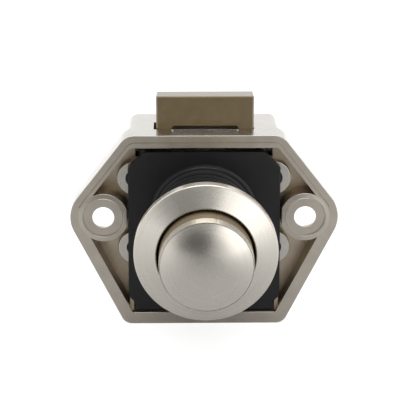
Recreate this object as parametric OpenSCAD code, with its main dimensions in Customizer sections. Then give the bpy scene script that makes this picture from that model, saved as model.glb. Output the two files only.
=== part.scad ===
// Push button cabinet lock, shown locked, with the bolt out and the button in.
// X points right and Z up as seen by someone in front of the door.
// Y points into the cabinet. The origin is on the button's axis, in the plane
// of the housing's front rim, which lies against the back of the door.

/* [Housing] */
// Distance between the two mounting holes
hole_pitch = 45.2; // [44.6:0.1:48]
// Diameter of the mounting holes
hole_d = 4.9; // [3.5:0.1:5.5]
// Radius of the flange's side corners, centred on the mounting holes
side_r = 7.4; // [7:0.1:8.5]
// Radius of the bosses around the mounting holes
boss_r = 5.6; // [5.4:0.1:6]
// Height of the flange's top edge above the button's axis
top_h = 19; // [18.6:0.1:21]
// Depth of the flange's bottom edge below the button's axis
bottom_h = 25.8; // [25.2:0.1:29]
// Width of the flange's top edge between its sharp corners
top_w = 34.4; // [33.6:0.1:35.4]
// Width of the flange's bottom edge between its sharp corners
bottom_w = 36.2; // [35.2:0.1:37.4]
// Radius of the flange's two top corners
top_corner_r = 3.8; // [2.8:0.1:4.5]
// Radius of the flange's two bottom corners
bottom_corner_r = 2.6; // [1.5:0.1:3.4]
// Thickness of the rim along the top
rim_crown = 2.85; // [2.5:0.05:3]
// Thickness of the rim along the upper slopes
rim_top = 2.45; // [2:0.05:2.8]
// Thickness of the rim along the bottom and the lower slopes
rim_low = 2.75; // [2.2:0.05:3]
// Depth of the flange from front to back
flange_depth = 6.8; // [6.4:0.1:8]
// Thickness of the flange's floor
flange_floor = 1.5; // [1:0.1:2]
// Width of the box behind the flange
box_w = 34.3; // [34.2:0.1:35.4]
// Depth of the box from the front rim to its back face
box_depth = 19.5; // [19:0.1:23]
// Thickness of the box's side walls
box_side = 1.75; // [1.65:0.05:1.8]
// Thickness of the box's back wall
box_back = 2; // [1.6:0.1:2.4]
// Radius of the box's long edges
box_edge_r = 2.2; // [1:0.1:2.5]
// Spacing of the posts from side to side
post_pitch_x = 31; // [30.8:0.1:31.4]
// Spacing of the posts from top to bottom
post_pitch_z = 16.5; // [15.5:0.1:17.5]
// Diameter of the posts
post_d = 8; // [7.4:0.1:8.4]
// Diameter of the pegs that stand in the posts
peg_d = 3.9; // [3.3:0.1:4]

/* [Carrier] */
// How far the plate's face is set back from the front rim
plate_set = 0.9; // [0.6:0.1:1.2]
// Thickness of the plate
plate_t = 2.1; // [1.8:0.1:2.2]
// Width of the plate
plate_w = 33.9; // [33.6:0.1:34.3]
// Gap between the plate's top edge and the rim
plate_top_gap = 1.15; // [0.6:0.05:1.3]
// Length of the bevels at the plate's two top corners
plate_bevel = 3.7; // [2.8:0.1:4.2]
// Outer diameter of the collar's thread
thread_d = 22.4; // [22.2:0.1:23]
// Depth of the thread
thread_depth = 0.6; // [0.3:0.05:0.65]
// Distance from one turn of the thread to the next
thread_pitch = 2.25; // [1.75:0.05:2.5]
// Bore of the collar
collar_bore = 19.9; // [19.85:0.05:20]
// How far the collar stands out in front of the rim plane
collar_reach = 17.2; // [15:0.1:19]
// Diameter of the carrier's fixing screws
fixing_d = 2.2; // [1.8:0.1:2.6]

/* [Rosette] */
// Thickness of the door that the rosette is set to
door_t = 20.3; // [19.3:0.1:21.5]
// Diameter of the rosette
rosette_d = 30.2; // [28:0.1:34]
// Thickness of the rosette from its back to its nose
rosette_t = 4.1; // [3.8:0.1:4.6]
// Slope of the rosette's conical face, in degrees
rosette_slope = 20; // [12:1:24]
// Radius of the rosette's rounded rim
rosette_round = 0.4; // [0.3:0.05:0.8]
// Diameter of the opening that the button passes through
opening_d = 20.6; // [20.2:0.1:21]
// Outer diameter of the rosette's threaded sleeve, which sits in the door's hole
rosette_sleeve_d = 24.8; // [24.6:0.1:26]
// Length of the rosette's threaded sleeve behind its edge
rosette_sleeve_len = 8; // [7:0.1:10]

/* [Button] */
// Diameter of the button
button_d = 19.6; // [19.4:0.05:19.65]
// How far the button's rim stands out in front of the rim plane
button_reach = 30.3; // [29:0.1:32]
// Length of the button's sleeve
button_len = 22.4; // [20:0.1:23]
// Wall of the button's sleeve
button_wall = 0.85; // [0.6:0.05:0.9]
// Wall of the sleeve beside the face
seat_wall = 0.2; // [0.15:0.05:0.4]
// Length of the sleeve's tapered front
taper_len = 2.4; // [1.8:0.1:3]
// How far the sleeve narrows there
taper_in = 0.1; // [0.05:0.01:0.12]
// Height of the domed face above the rim
dome_h = 1.9; // [1:0.1:2.5]
// Diameter of the adjusting stud
stud_d = 6; // [5:0.1:6.4]
// Thickness of the lock nut
nut_t = 3; // [2.4:0.1:4]

/* [Bolt] */
// Width of the bolt
bolt_w = 21.8; // [21:0.1:21.9]
// Thickness of the bolt
bolt_t = 5.2; // [5:0.1:5.3]
// Distance from the rim plane to the bolt's front face
bolt_set = 5.4; // [5.2:0.1:5.5]
// Width of the window in the bolt
window_w = 15; // [14.8:0.1:15.4]
// How far the window's top edge stands above the flange when the bolt is out
window_show = 0.8; // [0.4:0.1:1.5]

/* [Mechanism] */
// Travel of the button and of the bolt
travel = 7.5; // [7:0.1:7.6]
// How far the button can be pressed past its latched place
over_press = 1; // [0.8:0.1:1]
// Width of the plunger's stem
stem_w = 9.2; // [8:0.1:9.4]
// Height of the plunger's stem above and below the axis
stem_h = 5; // [4.8:0.1:5.1]
// Wire of the return spring
return_wire = 0.9; // [0.6:0.05:1]
// Number of curls of the return spring
return_curls = 9; // [6:1:11]
// Wire of the bolt springs
bolt_wire = 0.4; // [0.3:0.05:0.45]
// Number of curls of each bolt spring
bolt_curls = 9; // [6:1:11]
// Wire of the track follower
follower_wire = 0.9; // [0.7:0.05:1]

/* [Clearances] */
// Gap on each side of sliding faces
slide_gap = 0.1; // [0.05:0.01:0.15]
// Radial gap of pins, studs and screws in their holes
pin_gap = 0.02; // [0.01:0.01:0.04]
// Gap between the carrier's edges and the housing
edge_gap = 0.25; // [0.15:0.05:0.4]

/* [Hidden] */
$fn = 96;
eps = 0.01;
hair = 0.002;
lap = 0.1;

nickel = [0.66, 0.64, 0.60];
satin_nickel = [0.78, 0.76, 0.72];
black_nylon = [0.14, 0.14, 0.16];
tan_nylon = [0.44, 0.36, 0.24];
steel = [0.70, 0.71, 0.73];
zinc = [0.60, 0.61, 0.62];

// Housing
hole_x = hole_pitch / 2;
plate_back = plate_set + plate_t;
box_floor = box_depth - box_back;
box_in_x = box_w / 2 - box_side;
wall_top = top_h - rim_crown;
wall_low = -(bottom_h - rim_low);
cavity_top = wall_top - lap;
cavity_low = wall_low + lap;
pocket_depth = flange_depth - flange_floor;
boss_gap = 0.4;
boss_flat = hole_x - plate_w / 2 - boss_gap;
hole_web = 0.9;
hole_back_d = 9;
boss_step_w = 1.25;
boss_step_r = boss_r - boss_step_w;
boss_step = 0.25;
groove_inset = 1.45;
groove_w = 0.24;
groove_depth = 0.2;
groove_end_z = 2.5;
post_x = post_pitch_x / 2;
post_z = post_pitch_z / 2;
peg_len = 2.8;
peg_spare = 0.3;
block_start = 5;
ledge_set = 1.6;
ledge_x = 16.1;
ledge_out = 17;
ledge_z = -19.75;
ledge_cut = 1.1;
inner_corner_r = 0.8;

// Bolt, with its edges and its springs
bolt_spare = 1.7;
bolt_back = bolt_set + bolt_t;
bolt_top = top_h + travel;
bolt_low = cavity_low + travel + bolt_spare;
bolt_edge = 0.4;
window_top = top_h + window_show;
window_corner = 0.8;
opening_side = 0.35;
opening_front = 0.1;
opening_back = 0.6;
bolt_spring_x = 5.4;
bolt_spring_y = bolt_set + bolt_t / 2;
bolt_spring_d = 3.6;
spring_pocket = 5.5;
pocket_gap = 0.15;
spring_pin_d = 1.9;
spring_pin_rise = 6;
spring_pin_tip = 0.4;
return_side_gap = 0.75;
closed_step = 0.45;

// Plunger: the ramp's plane passes the carrier's back face at the bottom of the
// stem when the button is all the way out
ramp_gap = 0.1;
ramp_z = -stem_h + plate_back + travel - bolt_set;
sill_z = ramp_z - ramp_gap;
plunger_spare = 0.3;
plunger_end = box_floor - over_press - plunger_spare;
block_end = bolt_set - over_press - slide_gap;
foot = 0.8;
hub_front = -8;
hub_d = 10.4;
block_front = -1.5;
wing_front = plate_back + travel + slide_gap;
wing_len = 3.6;
wing_side_gap = 0.3;
wing_x = window_w / 2 - wing_side_gap;
wing_step = 0.5;
wing_top = stem_h - wing_step;
wing_low = -1;
stud_cover = 0.5;
stud_end = block_end - stud_cover;
stud_bevel = 0.5;
bore_spare = 0.2;
pin_set = 3.2;
pin_y = hub_front + pin_set;
pin_d = 1.5;
pin_short = 0.6;
pin_len = hub_d - pin_short;

// Heart-shaped track, cut into the top of the stem
track_set = 2.3;
follower_y = bolt_set + track_set;
track_depth = 1.2;
track_gap = 0.13;
track_w = follower_wire + 2 * track_gap;
lane_x = 1.7;
lane_slope = 2.7;
lane_start = 0.4;
track_route = [[0, travel], [lane_x, travel - lane_slope], [lane_x, -lane_start],
               [lane_x / 2, -over_press], [0, 0], [-lane_x / 2, -over_press],
               [-lane_x, -lane_start], [-lane_x, travel - lane_slope], [0, travel]];
follower_lift = 0.6;
follower_z = stem_h + follower_wire / 2 + follower_lift;
anchor_set = 1.3;
anchor_y = box_floor - anchor_set;
lug_len = 2.8;
lug_front = box_floor - lug_len;
lug_gap = 0.4;
lug_low = follower_z + follower_wire / 2 + lug_gap;
lug_h = 3.6;
lug_top = lug_low + lug_h;
lug_left = 2;
lug_right = 5.4;
clip_bore_web = 0.4;
clip_bore_low = lug_low + clip_bore_web;
clip_t = 0.3;
clip_w = 3;
clip_reach = 3.6;
clip_gap = 0.1;
clip_screw_x = 3.3;
clip_screw_d = 1.6;
clip_head_d = 2.3;
clip_head_t = 0.8;

// Button
button_r = button_d / 2;
rim_y = -button_reach;
sleeve_end = rim_y + button_len;
sleeve_in_r = button_r - button_wall;
core_r = sleeve_in_r - pin_gap;
seat_r = button_r - seat_wall;
face_r = seat_r - pin_gap;
face_t = 1.6;
face_line = 0.1;
face_line_depth = 0.4;
seat_gap = 0.05;
core_t = 4;
core_front = rim_y + face_t + seat_gap;
core_back = core_front + core_t;
core_hub_d = 10;
core_hub_len = 4;
core_wall = 0.6;
nut_front = core_back + core_hub_len + seat_gap;
nut_af = 9;
stud_front_gap = 0.4;
stud_front = core_front + core_wall + stud_front_gap;

// Collar, rosette and fixings
collar_end = -collar_reach;
collar_r = thread_d / 2;
collar_root_r = collar_r - thread_depth;
bore_r = collar_bore / 2;
collar_fillet = 1;
crest_share = 0.3;
crest = thread_pitch * crest_share;
flank = thread_depth * tan(30);
ridge_w = crest + 2 * flank;
thread_set = 0.8;
thread_start = plate_set - collar_fillet - thread_set;
rosette_turns = 2;
bevel = 0.3;
edge_round = 0.25;
arc_steps = 6;
guide_x = stem_w / 2 + slide_gap;
guide_top = stem_h + slide_gap;
guide_low = -stem_h - 2 * slide_gap;
rail_window_gap = 0.7;
rail_in = window_w / 2 + rail_window_gap;
rail_side_gap = 0.2;
rail_out = bolt_w / 2 - rail_side_gap;
rail_top = 13;
rosette_back = -door_t;
rosette_nose = rosette_back - rosette_t;
lip_t = 1.2;
lip_back = rosette_nose + lip_t;
sleeve_back = rosette_back + rosette_sleeve_len;
thread_gap = 0.12;
fixing_wall = 1;
fixing_x = bolt_w / 2 + 2 * slide_gap + fixing_d / 2 + fixing_wall;
fixing_top_set = 4.15;
fixing_low_set = 2.45;
fixing_top_z = wall_top - fixing_top_set;
fixing_low_z = wall_low + fixing_low_set;
fixing_boss_wall = 0.7;
fixing_boss_r = fixing_d / 2 + fixing_boss_wall;
fixing_boss_len = 6;
fixing_bore_len = 5.4;
fixing_tip_gap = 0.6;
fixing_head_d = 3.8;
fixing_head_t = 1.3;
fixing_head_gap = 0.15;
fixing_cross = 2.3;
fixing_slot_w = 0.5;
fixing_slot_depth = 0.7;
head_set = 1.4;

// Places a flat outline, drawn in X and Z, between two planes across Y
module slab(y0, y1) {
    translate([0, y1, 0]) rotate([90, 0, 0]) linear_extrude(y1 - y0) children();
}

// A round bar along Y
module rod(x, z, r, y0, y1) {
    translate([x, y1, z]) rotate([90, 0, 0]) cylinder(r = r, h = y1 - y0);
}

// A round piece about the button's axis, from points of radius and Y
module turned(points) {
    rotate([90, 0, 0]) rotate_extrude() polygon([for (p = points) [p[0], -p[1]]]);
}

// Points of an arc of radius and Y about a centre, between two angles
function arc(cr, cy, r, a0, a1) =
    [for (i = [0:arc_steps]) let (a = a0 + (a1 - a0) * i / arc_steps)
        [cr + r * cos(a), cy + r * sin(a)]];

// Angle of the outward normal of a slope that runs from a sharp corner of the
// flange to a tangent of the side circle
function slope_angle(half_w, h) =
    atan2(h, half_w - hole_x) - acos(side_r / norm([half_w - hole_x, h]));

upper_angle = slope_angle(top_w / 2, top_h);
lower_angle = slope_angle(bottom_w / 2, bottom_h);

// The flange's six sides: normal angle, distance from the origin, rim thickness
sides = [
    [upper_angle, hole_x * cos(upper_angle) + side_r, rim_top],
    [90, top_h, rim_crown],
    [180 - upper_angle, hole_x * cos(upper_angle) + side_r, rim_top],
    [180 + lower_angle, hole_x * cos(lower_angle) + side_r, rim_low],
    [270, bottom_h, rim_low],
    [360 - lower_angle, hole_x * cos(lower_angle) + side_r, rim_low]];
corner_radii = [top_corner_r, top_corner_r, side_r,
                bottom_corner_r, bottom_corner_r, side_r];

// Where two sides meet, each moved inwards by its own distance
function meet(a, b, da, db) =
    let (ca = a[1] - da, cb = b[1] - db, s = sin(b[0] - a[0]))
    [(ca * sin(b[0]) - cb * sin(a[0])) / s, (cb * cos(a[0]) - ca * cos(b[0])) / s];

// The flange's outline, moved inwards by a fixed distance and a share of the rim.
// Inside the rim its top and bottom corners are sharper. Its straight sides lie a
// hair inside the corner circles, so that they cross them.
module flange_outline(inset, rim_share = 0) {
    radii = [for (i = [0:5])
        rim_share > 0 && i % 3 < 2 ? inner_corner_r
            : max(corner_radii[i] - inset - rim_share * sides[i][2], inner_corner_r)];
    centres = [for (i = [0:5]) let (a = sides[i], b = sides[(i + 1) % 6], r = radii[i])
        meet(a, b, inset + rim_share * a[2] + r, inset + rim_share * b[2] + r)];
    polygon([for (i = [0:5], side = [sides[i], sides[(i + 1) % 6]])
        centres[i] + (radii[i] - hair) * [cos(side[0]), sin(side[0])]]);
    for (i = [0:5]) translate(centres[i]) circle(radii[i]);
}

// A rectangle with round corners, as straight bars and circles
module round_box(x0, x1, z0, z1, r) {
    translate([x0 + r, z0]) square([x1 - x0 - 2 * r, z1 - z0]);
    translate([x0, z0 + r]) square([x1 - x0, z1 - z0 - 2 * r]);
    for (x = [x0 + r, x1 - r], z = [z0 + r, z1 - r]) translate([x, z]) circle(r);
}

// The boss round a mounting hole, with the flat that clears the carrier
module boss_outline(x) {
    intersection() {
        translate([x, 0]) circle(boss_r);
        translate([x > 0 ? x - boss_flat : x - 2 * boss_r, -2 * boss_r])
            square([2 * boss_r + boss_flat, 4 * boss_r]);
    }
}

// The ledge in each lower corner, under the cut corner of the carrier
module ledge_outline() {
    for (s = [-1, 1])
        polygon([[s * ledge_x, -bottom_h], [s * ledge_x, ledge_z - ledge_cut],
                 [s * ledge_out, ledge_z - ledge_cut + ledge_out - ledge_x],
                 [s * ledge_out, -bottom_h]]);
}

// The recess inside the rim, without the bosses
module recess_outline() {
    difference() {
        flange_outline(0, 1);
        for (s = [-1, 1]) boss_outline(s * hole_x);
    }
}

module at_fixings() {
    for (s = [-1, 1], z = [fixing_top_z, fixing_low_z]) translate([s * fixing_x, 0, z]) children();
}

// Columns in the four inner corners, for the carrier's screws
module fixing_columns() {
    front = plate_back + fixing_boss_len + slide_gap;
    r = fixing_d / 2 + fixing_wall;
    for (s = [-1, 1]) {
        rod(s * fixing_x, fixing_top_z, r, front, box_floor + eps);
        rod(s * fixing_x, fixing_low_z, r, front, box_floor + eps);
        wall_x = s > 0 ? fixing_x : -box_in_x - eps;
        across = box_in_x + eps - fixing_x;
        translate([wall_x, front, fixing_top_z - r])
            cube([across, box_floor + eps - front, wall_top + eps - fixing_top_z + r]);
        translate([wall_x, front, wall_low - eps])
            cube([across, box_floor + eps - front, fixing_low_z + r - wall_low + eps]);
    }
}

// Posts under the carrier, and behind them the blocks that guide the bolt's edges
module posts() {
    block_in = bolt_w / 2 + slide_gap;
    for (s = [-1, 1], z = [-post_z, post_z]) {
        rod(s * post_x, z, post_d / 2, plate_back, flange_depth);
        translate([s > 0 ? block_in : -box_in_x - eps, block_start, z - post_d / 4])
            cube([box_in_x + eps - block_in, box_floor + eps - block_start, post_d / 2]);
    }
}

module housing_body() {
    difference() {
        union() {
            slab(0, flange_depth) flange_outline(0);
            slab(0, box_depth) round_box(-box_w / 2, box_w / 2, -bottom_h, top_h, box_edge_r);
        }
        slab(-eps, ledge_set) recess_outline();
        slab(-eps, pocket_depth) difference() {
            recess_outline();
            ledge_outline();
        }
        slab(-eps, box_floor) translate([-box_in_x, cavity_low])
            square([2 * box_in_x, cavity_top - cavity_low]);
        // The fine groove runs along the upper sides only
        slab(-eps, groove_depth) intersection() {
            difference() {
                flange_outline(groove_inset);
                flange_outline(groove_inset + groove_w);
            }
            translate([-hole_pitch, groove_end_z]) square([2 * hole_pitch, top_h]);
        }
    }
    posts();
    fixing_columns();
    // Ribs that carry the bolt's back face
    for (s = [-1, 1])
        translate([s > 0 ? rail_in : -rail_out, bolt_back + slide_gap, wall_low - eps])
            cube([rail_out - rail_in, box_floor + eps - bolt_back - slide_gap,
                  rail_top - wall_low]);
    // Lug that holds the track follower
    translate([-lug_left, lug_front, lug_low])
        cube([lug_left + lug_right, box_floor + eps - lug_front, lug_top - lug_low]);
}

module housing() {
    color(nickel) difference() {
        housing_body();
        // Mounting holes, each with a wide recess behind and a shallow step in front
        for (s = [-1, 1]) {
            rod(s * hole_x, 0, hole_d / 2, -eps, flange_depth);
            rod(s * hole_x, 0, hole_back_d / 2, hole_web, flange_depth + eps);
            rod(s * hole_x, 0, boss_step_r, -eps, boss_step);
        }
        for (s = [-1, 1], z = [-post_z, post_z])
            rod(s * post_x, z, peg_d / 2 + pin_gap, plate_back - eps,
                plate_back + peg_len + peg_spare);
        // Opening for the bolt
        translate([-bolt_w / 2 - opening_side, bolt_set - opening_front, cavity_top - eps])
            cube([bolt_w + 2 * opening_side, bolt_t + opening_front + opening_back,
                  top_h - cavity_top + 2 * eps]);
        at_fixings() {
            // Room for the carrier's bosses beside the posts
            rod(0, 0, fixing_boss_r + slide_gap, plate_back - lap, plate_back + fixing_boss_len);
            rod(0, 0, fixing_d / 2 + pin_gap, plate_back + fixing_boss_len, box_depth);
            rod(0, 0, fixing_head_d / 2 + fixing_head_gap, box_depth - head_set,
                box_depth + eps);
        }
        for (s = [-1, 1])
            translate([s * bolt_spring_x, bolt_spring_y, -bottom_h - eps])
                cylinder(d = spring_pin_d + 2 * pin_gap, h = cavity_low + bottom_h + 2 * eps);
        translate([0, anchor_y, lug_low - eps])
            cylinder(d = follower_wire + 2 * pin_gap, h = lug_top - lug_low + 2 * eps);
        translate([clip_screw_x, anchor_y, clip_bore_low])
            cylinder(d = clip_screw_d + 2 * pin_gap, h = lug_top + eps - clip_bore_low);
    }
}

// The plate's outline: bevelled top corners, lower corners cut round the ledges
module plate_outline() {
    w = plate_w / 2;
    top = wall_top - plate_top_gap;
    low_x = ledge_x - edge_gap;
    notch_z = ledge_z + edge_gap;
    intersection() {
        flange_outline(edge_gap, 1);
        polygon([[w - plate_bevel, top], [w, top - plate_bevel],
                 [w, notch_z], [low_x, notch_z - w + low_x],
                 [low_x, wall_low], [-low_x, wall_low],
                 [-low_x, notch_z - w + low_x], [-w, notch_z],
                 [-w, top - plate_bevel], [-w + plate_bevel, top]]);
    }
}

// Radius and Y of the thread, ridge by ridge, from the plate outwards
function thread_points() =
    [for (y = [thread_start:-thread_pitch:collar_end + bevel + ridge_w], p = [
        [collar_root_r, y], [collar_r, y - flank], [collar_r, y - flank - crest],
        [collar_root_r, y - ridge_w]]) p];

module collar() {
    turned(concat(
        [[bore_r, plate_set + eps], [collar_r + collar_fillet, plate_set + eps]],
        arc(collar_r + collar_fillet, plate_set - collar_fillet, collar_fillet, 90, 180),
        [[collar_root_r, plate_set - collar_fillet - flank]],
        thread_points(),
        [[collar_root_r, collar_end + bevel], [collar_root_r - bevel, collar_end],
         [bore_r, collar_end]]));
}

module carrier() {
    rail_front = plate_back - lap;
    boss_end = plate_back + fixing_boss_len;
    color(black_nylon) difference() {
        union() {
            slab(plate_set, plate_back) plate_outline();
            collar();
            for (s = [-1, 1], z = [-post_z, post_z])
                rod(s * post_x, z, peg_d / 2, rail_front, plate_back + peg_len);
            for (s = [-1, 1]) translate([s > 0 ? rail_in : -rail_out, rail_front, -rail_top])
                cube([rail_out - rail_in, bolt_set - slide_gap - rail_front, 2 * rail_top]);
            at_fixings() rod(0, 0, fixing_boss_r, rail_front, boss_end);
        }
        slab(plate_set - eps, plate_back + eps) translate([-guide_x, guide_low])
            square([2 * guide_x, guide_top - guide_low]);
        at_fixings() rod(0, 0, fixing_d / 2 + pin_gap, boss_end - fixing_bore_len,
                         boss_end + eps);
    }
}

// One self-tapping screw, driven from the back of the housing
module carrier_screw(s, z) {
    tip = plate_back + fixing_boss_len - fixing_bore_len + fixing_tip_gap;
    head_front = box_depth - head_set;
    head_back = head_front + fixing_head_t;
    color(steel) translate([s * fixing_x, 0, z]) difference() {
        union() {
            rod(0, 0, fixing_d / 2, tip, head_front + lap);
            rod(0, 0, fixing_head_d / 2, head_front, head_back);
        }
        for (a = [0, 90]) translate([0, head_back, 0]) rotate([0, a, 0])
            cube([fixing_cross, 2 * fixing_slot_depth, fixing_slot_w], center = true);
    }
}

module carrier_screw_upper_left() { carrier_screw(-1, fixing_top_z); }
module carrier_screw_upper_right() { carrier_screw(1, fixing_top_z); }
module carrier_screw_lower_left() { carrier_screw(-1, fixing_low_z); }
module carrier_screw_lower_right() { carrier_screw(1, fixing_low_z); }

// Ring nut with a conical face between a rounded rim and a rounded nose. Its inner
// thread lies between the collar's turns.
module rosette() {
    r = rosette_d / 2;
    tilt = 90 - rosette_slope;
    nose_r = opening_d / 2 + edge_round;
    rim_r = r - rosette_round;
    face_rise = tan(rosette_slope)
        * (rim_r - nose_r + (rosette_round - edge_round) * sin(rosette_slope));
    rim_front = rosette_nose + edge_round + face_rise
        + (rosette_round - edge_round) * cos(rosette_slope);
    hub_r = rosette_sleeve_d / 2;
    groove_r = collar_r + thread_gap;
    tooth_r = collar_root_r + thread_gap;
    tooth_w = thread_pitch - crest - 2 * thread_gap;
    first_tooth = thread_start - flank - crest - thread_gap;
    skipped = ceil((first_tooth - sleeve_back + bevel) / thread_pitch);
    color(satin_nickel) turned(concat(
        [[hub_r, sleeve_back - bevel], [hub_r, rosette_back], [r - bevel, rosette_back],
         [r, rosette_back - bevel]],
        arc(rim_r, rim_front, rosette_round, 0, -tilt),
        arc(nose_r, rosette_nose + edge_round, edge_round, -tilt, -180),
        [[opening_d / 2, lip_back], [groove_r, lip_back]],
        [for (i = [rosette_turns - 1:-1:0], p = [[0, tooth_w], [1, tooth_w - flank],
            [1, flank], [0, 0]]) [p[0] == 0 ? groove_r : tooth_r,
            first_tooth - (skipped + i) * thread_pitch - p[1]]],
        [[groove_r, sleeve_back], [hub_r - bevel, sleeve_back]]));
}

// Tube with a slightly tapered front and a shoulder inside that carries the face
module button_sleeve() {
    color(satin_nickel) turned(
        [[sleeve_in_r, sleeve_end], [button_r - bevel, sleeve_end],
         [button_r, sleeve_end - bevel], [button_r, rim_y + taper_len],
         [button_r - taper_in, rim_y], [seat_r, rim_y], [seat_r, core_front],
         [sleeve_in_r, core_front]]);
}

// Domed disc with a small step that leaves a fine line inside the rim
module button_face() {
    edge_r = face_r - face_line;
    ball_r = (edge_r * edge_r + dome_h * dome_h) / (2 * dome_h);
    color(satin_nickel) {
        turned([[0, rim_y + face_t], [face_r, rim_y + face_t],
                [face_r, rim_y + face_line_depth], [edge_r, rim_y + face_line_depth],
                [edge_r, rim_y + lap], [0, rim_y + lap]]);
        intersection() {
            translate([0, rim_y - dome_h + ball_r, 0]) rotate([90, 0, 0]) sphere(ball_r);
            rod(0, 0, edge_r, rim_y - dome_h - 1, rim_y + 2 * lap);
        }
    }
}

module button_core() {
    color(black_nylon) difference() {
        union() {
            rod(0, 0, core_r, core_front, core_back);
            rod(0, 0, core_hub_d / 2, core_back - lap, core_back + core_hub_len);
        }
        rod(0, 0, stud_d / 2 + pin_gap, core_front + core_wall,
            core_back + core_hub_len + eps);
    }
}

module adjusting_stud() {
    r = stud_d / 2;
    color(steel) difference() {
        turned([[0, stud_front], [r - stud_bevel, stud_front], [r, stud_front + stud_bevel],
                [r, stud_end - stud_bevel], [r - stud_bevel, stud_end], [0, stud_end]]);
        translate([-stud_d, pin_y, 0]) rotate([0, 90, 0])
            cylinder(d = pin_d + 2 * pin_gap, h = 2 * stud_d);
    }
}

module lock_nut() {
    color(steel) difference() {
        translate([0, nut_front + nut_t, 0]) rotate([90, 0, 0])
            cylinder(d = nut_af / cos(30), h = nut_t, $fn = 6);
        rod(0, 0, stud_d / 2 + pin_gap, nut_front - eps, nut_front + nut_t + eps);
    }
}

module stud_pin() {
    color(steel) translate([-pin_len / 2, pin_y, 0]) rotate([0, 90, 0])
        cylinder(d = pin_d, h = pin_len);
}

// One bar of the track, between two points across the stem and along it
module track_bar(a, b) {
    step = b - a;
    z0 = stem_h - track_depth;
    translate([a[0], follower_y + a[1], z0]) {
        cylinder(d = track_w, h = track_depth + eps, $fn = 32);
        rotate([0, 0, atan2(step[1], step[0])]) translate([0, hair - track_w / 2, 0])
            cube([norm(step), track_w - 2 * hair, track_depth + eps]);
    }
}

module plunger() {
    foot_z = ramp_z - (plunger_end - foot - bolt_set);
    ramp_start_z = ramp_z + bolt_set - block_end;
    color(zinc) difference() {
        union() {
            rod(0, 0, hub_d / 2, hub_front, block_front + lap);
            translate([-stem_w / 2, block_front, -stem_h])
                cube([stem_w, block_end - block_front, 2 * stem_h]);
            // Stem with its sloping underside
            translate([stem_w / 2, 0, 0]) rotate([0, -90, 0]) linear_extrude(stem_w)
                polygon([[stem_h, block_end - eps], [stem_h, plunger_end],
                         [foot_z, plunger_end], [foot_z, plunger_end - foot],
                         [ramp_start_z, block_end], [ramp_start_z, block_end - eps]]);
            translate([-wing_x, wing_front, wing_low])
                cube([2 * wing_x, wing_len, wing_top - wing_low]);
        }
        rod(0, 0, stud_d / 2 + pin_gap, hub_front - eps, stud_end + bore_spare);
        translate([-hub_d, pin_y, 0]) rotate([0, 90, 0])
            cylinder(d = pin_d + 2 * pin_gap, h = 2 * hub_d);
        for (i = [0:len(track_route) - 2]) track_bar(track_route[i], track_route[i + 1]);
    }
}

// A coil of round wire: rings of points along a helix about Z. The curls lie close
// together at both ends and evenly between them.
rings_per_curl = 8;
wire_sides = 6;
function coil_z(t, curls, height, wire) =
    let (step = wire + closed_step, open_h = height - wire - 2 * step)
    wire / 2 + (t < 1 ? t * step
        : t > curls - 1 ? height - wire - (curls - t) * step
        : step + (t - 1) * open_h / (curls - 2));
function coil_centre(t, curls, height, mean_r, wire) =
    [mean_r * cos(360 * t), mean_r * sin(360 * t), coil_z(t, curls, height, wire)];
function coil_rings(curls, height, mean_r, wire) =
    [for (i = [0:curls * rings_per_curl]) let (t = i / rings_per_curl)
        [for (k = [0:wire_sides - 1]) let (a = 360 * k / wire_sides, r = wire / 2)
            coil_centre(t, curls, height, mean_r, wire)
                + r * [cos(a) * cos(360 * t), cos(a) * sin(360 * t), sin(a)]]];

module coil(curls, height, mean_r, wire) {
    rings = coil_rings(curls, height, mean_r, wire);
    last = len(rings) - 1;
    n = wire_sides;
    polyhedron(
        points = [for (ring = rings, p = ring) p],
        faces = concat(
            [for (k = [1:n - 2]) [0, k, k + 1]],
            [for (k = [1:n - 2]) [last * n, last * n + k + 1, last * n + k]],
            [for (i = [0:last - 1], k = [0:n - 1]) let (a = i * n + k, b = i * n + (k + 1) % n)
                [a, a + n, b + n]],
            [for (i = [0:last - 1], k = [0:n - 1]) let (a = i * n + k, b = i * n + (k + 1) % n)
                [a, b + n, b]]));
}

// Least gap between one curl and the next, measured on the centre line's points
function coil_gap(curls, height, mean_r, wire) =
    min([for (i = [0:(curls - 1) * rings_per_curl]) let (t = i / rings_per_curl)
        norm(coil_centre(t + 1, curls, height, mean_r, wire)
            - coil_centre(t, curls, height, mean_r, wire)) - wire]);

return_spring_h = plate_set - core_back - 2 * seat_gap;
return_spring_r = sleeve_in_r - return_side_gap - return_wire / 2;
bolt_spring_h = bolt_low + spring_pocket - cavity_low - 2 * seat_gap;
bolt_spring_r = (bolt_spring_d - bolt_wire) / 2;
echo(return_spring_gap = coil_gap(return_curls, return_spring_h, return_spring_r, return_wire));
echo(bolt_spring_gap = coil_gap(bolt_curls, bolt_spring_h, bolt_spring_r, bolt_wire));

module return_spring() {
    color(steel) translate([0, plate_set - seat_gap, 0]) rotate([90, 0, 0])
        coil(return_curls, return_spring_h, return_spring_r, return_wire);
}

module bolt_spring(s) {
    color(steel) translate([s * bolt_spring_x, bolt_spring_y, cavity_low + seat_gap])
        coil(bolt_curls, bolt_spring_h, bolt_spring_r, bolt_wire);
}

module bolt_spring_left() { bolt_spring(-1); }
module bolt_spring_right() { bolt_spring(1); }

module spring_pin(s) {
    straight = cavity_low + bottom_h + spring_pin_rise - spring_pin_tip;
    color(steel) translate([s * bolt_spring_x, bolt_spring_y, -bottom_h]) {
        cylinder(d = spring_pin_d, h = straight);
        translate([0, 0, straight])
            cylinder(d1 = spring_pin_d, d2 = spring_pin_d - 2 * spring_pin_tip,
                     h = spring_pin_tip);
    }
}

module spring_pin_left() { spring_pin(-1); }
module spring_pin_right() { spring_pin(1); }

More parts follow.
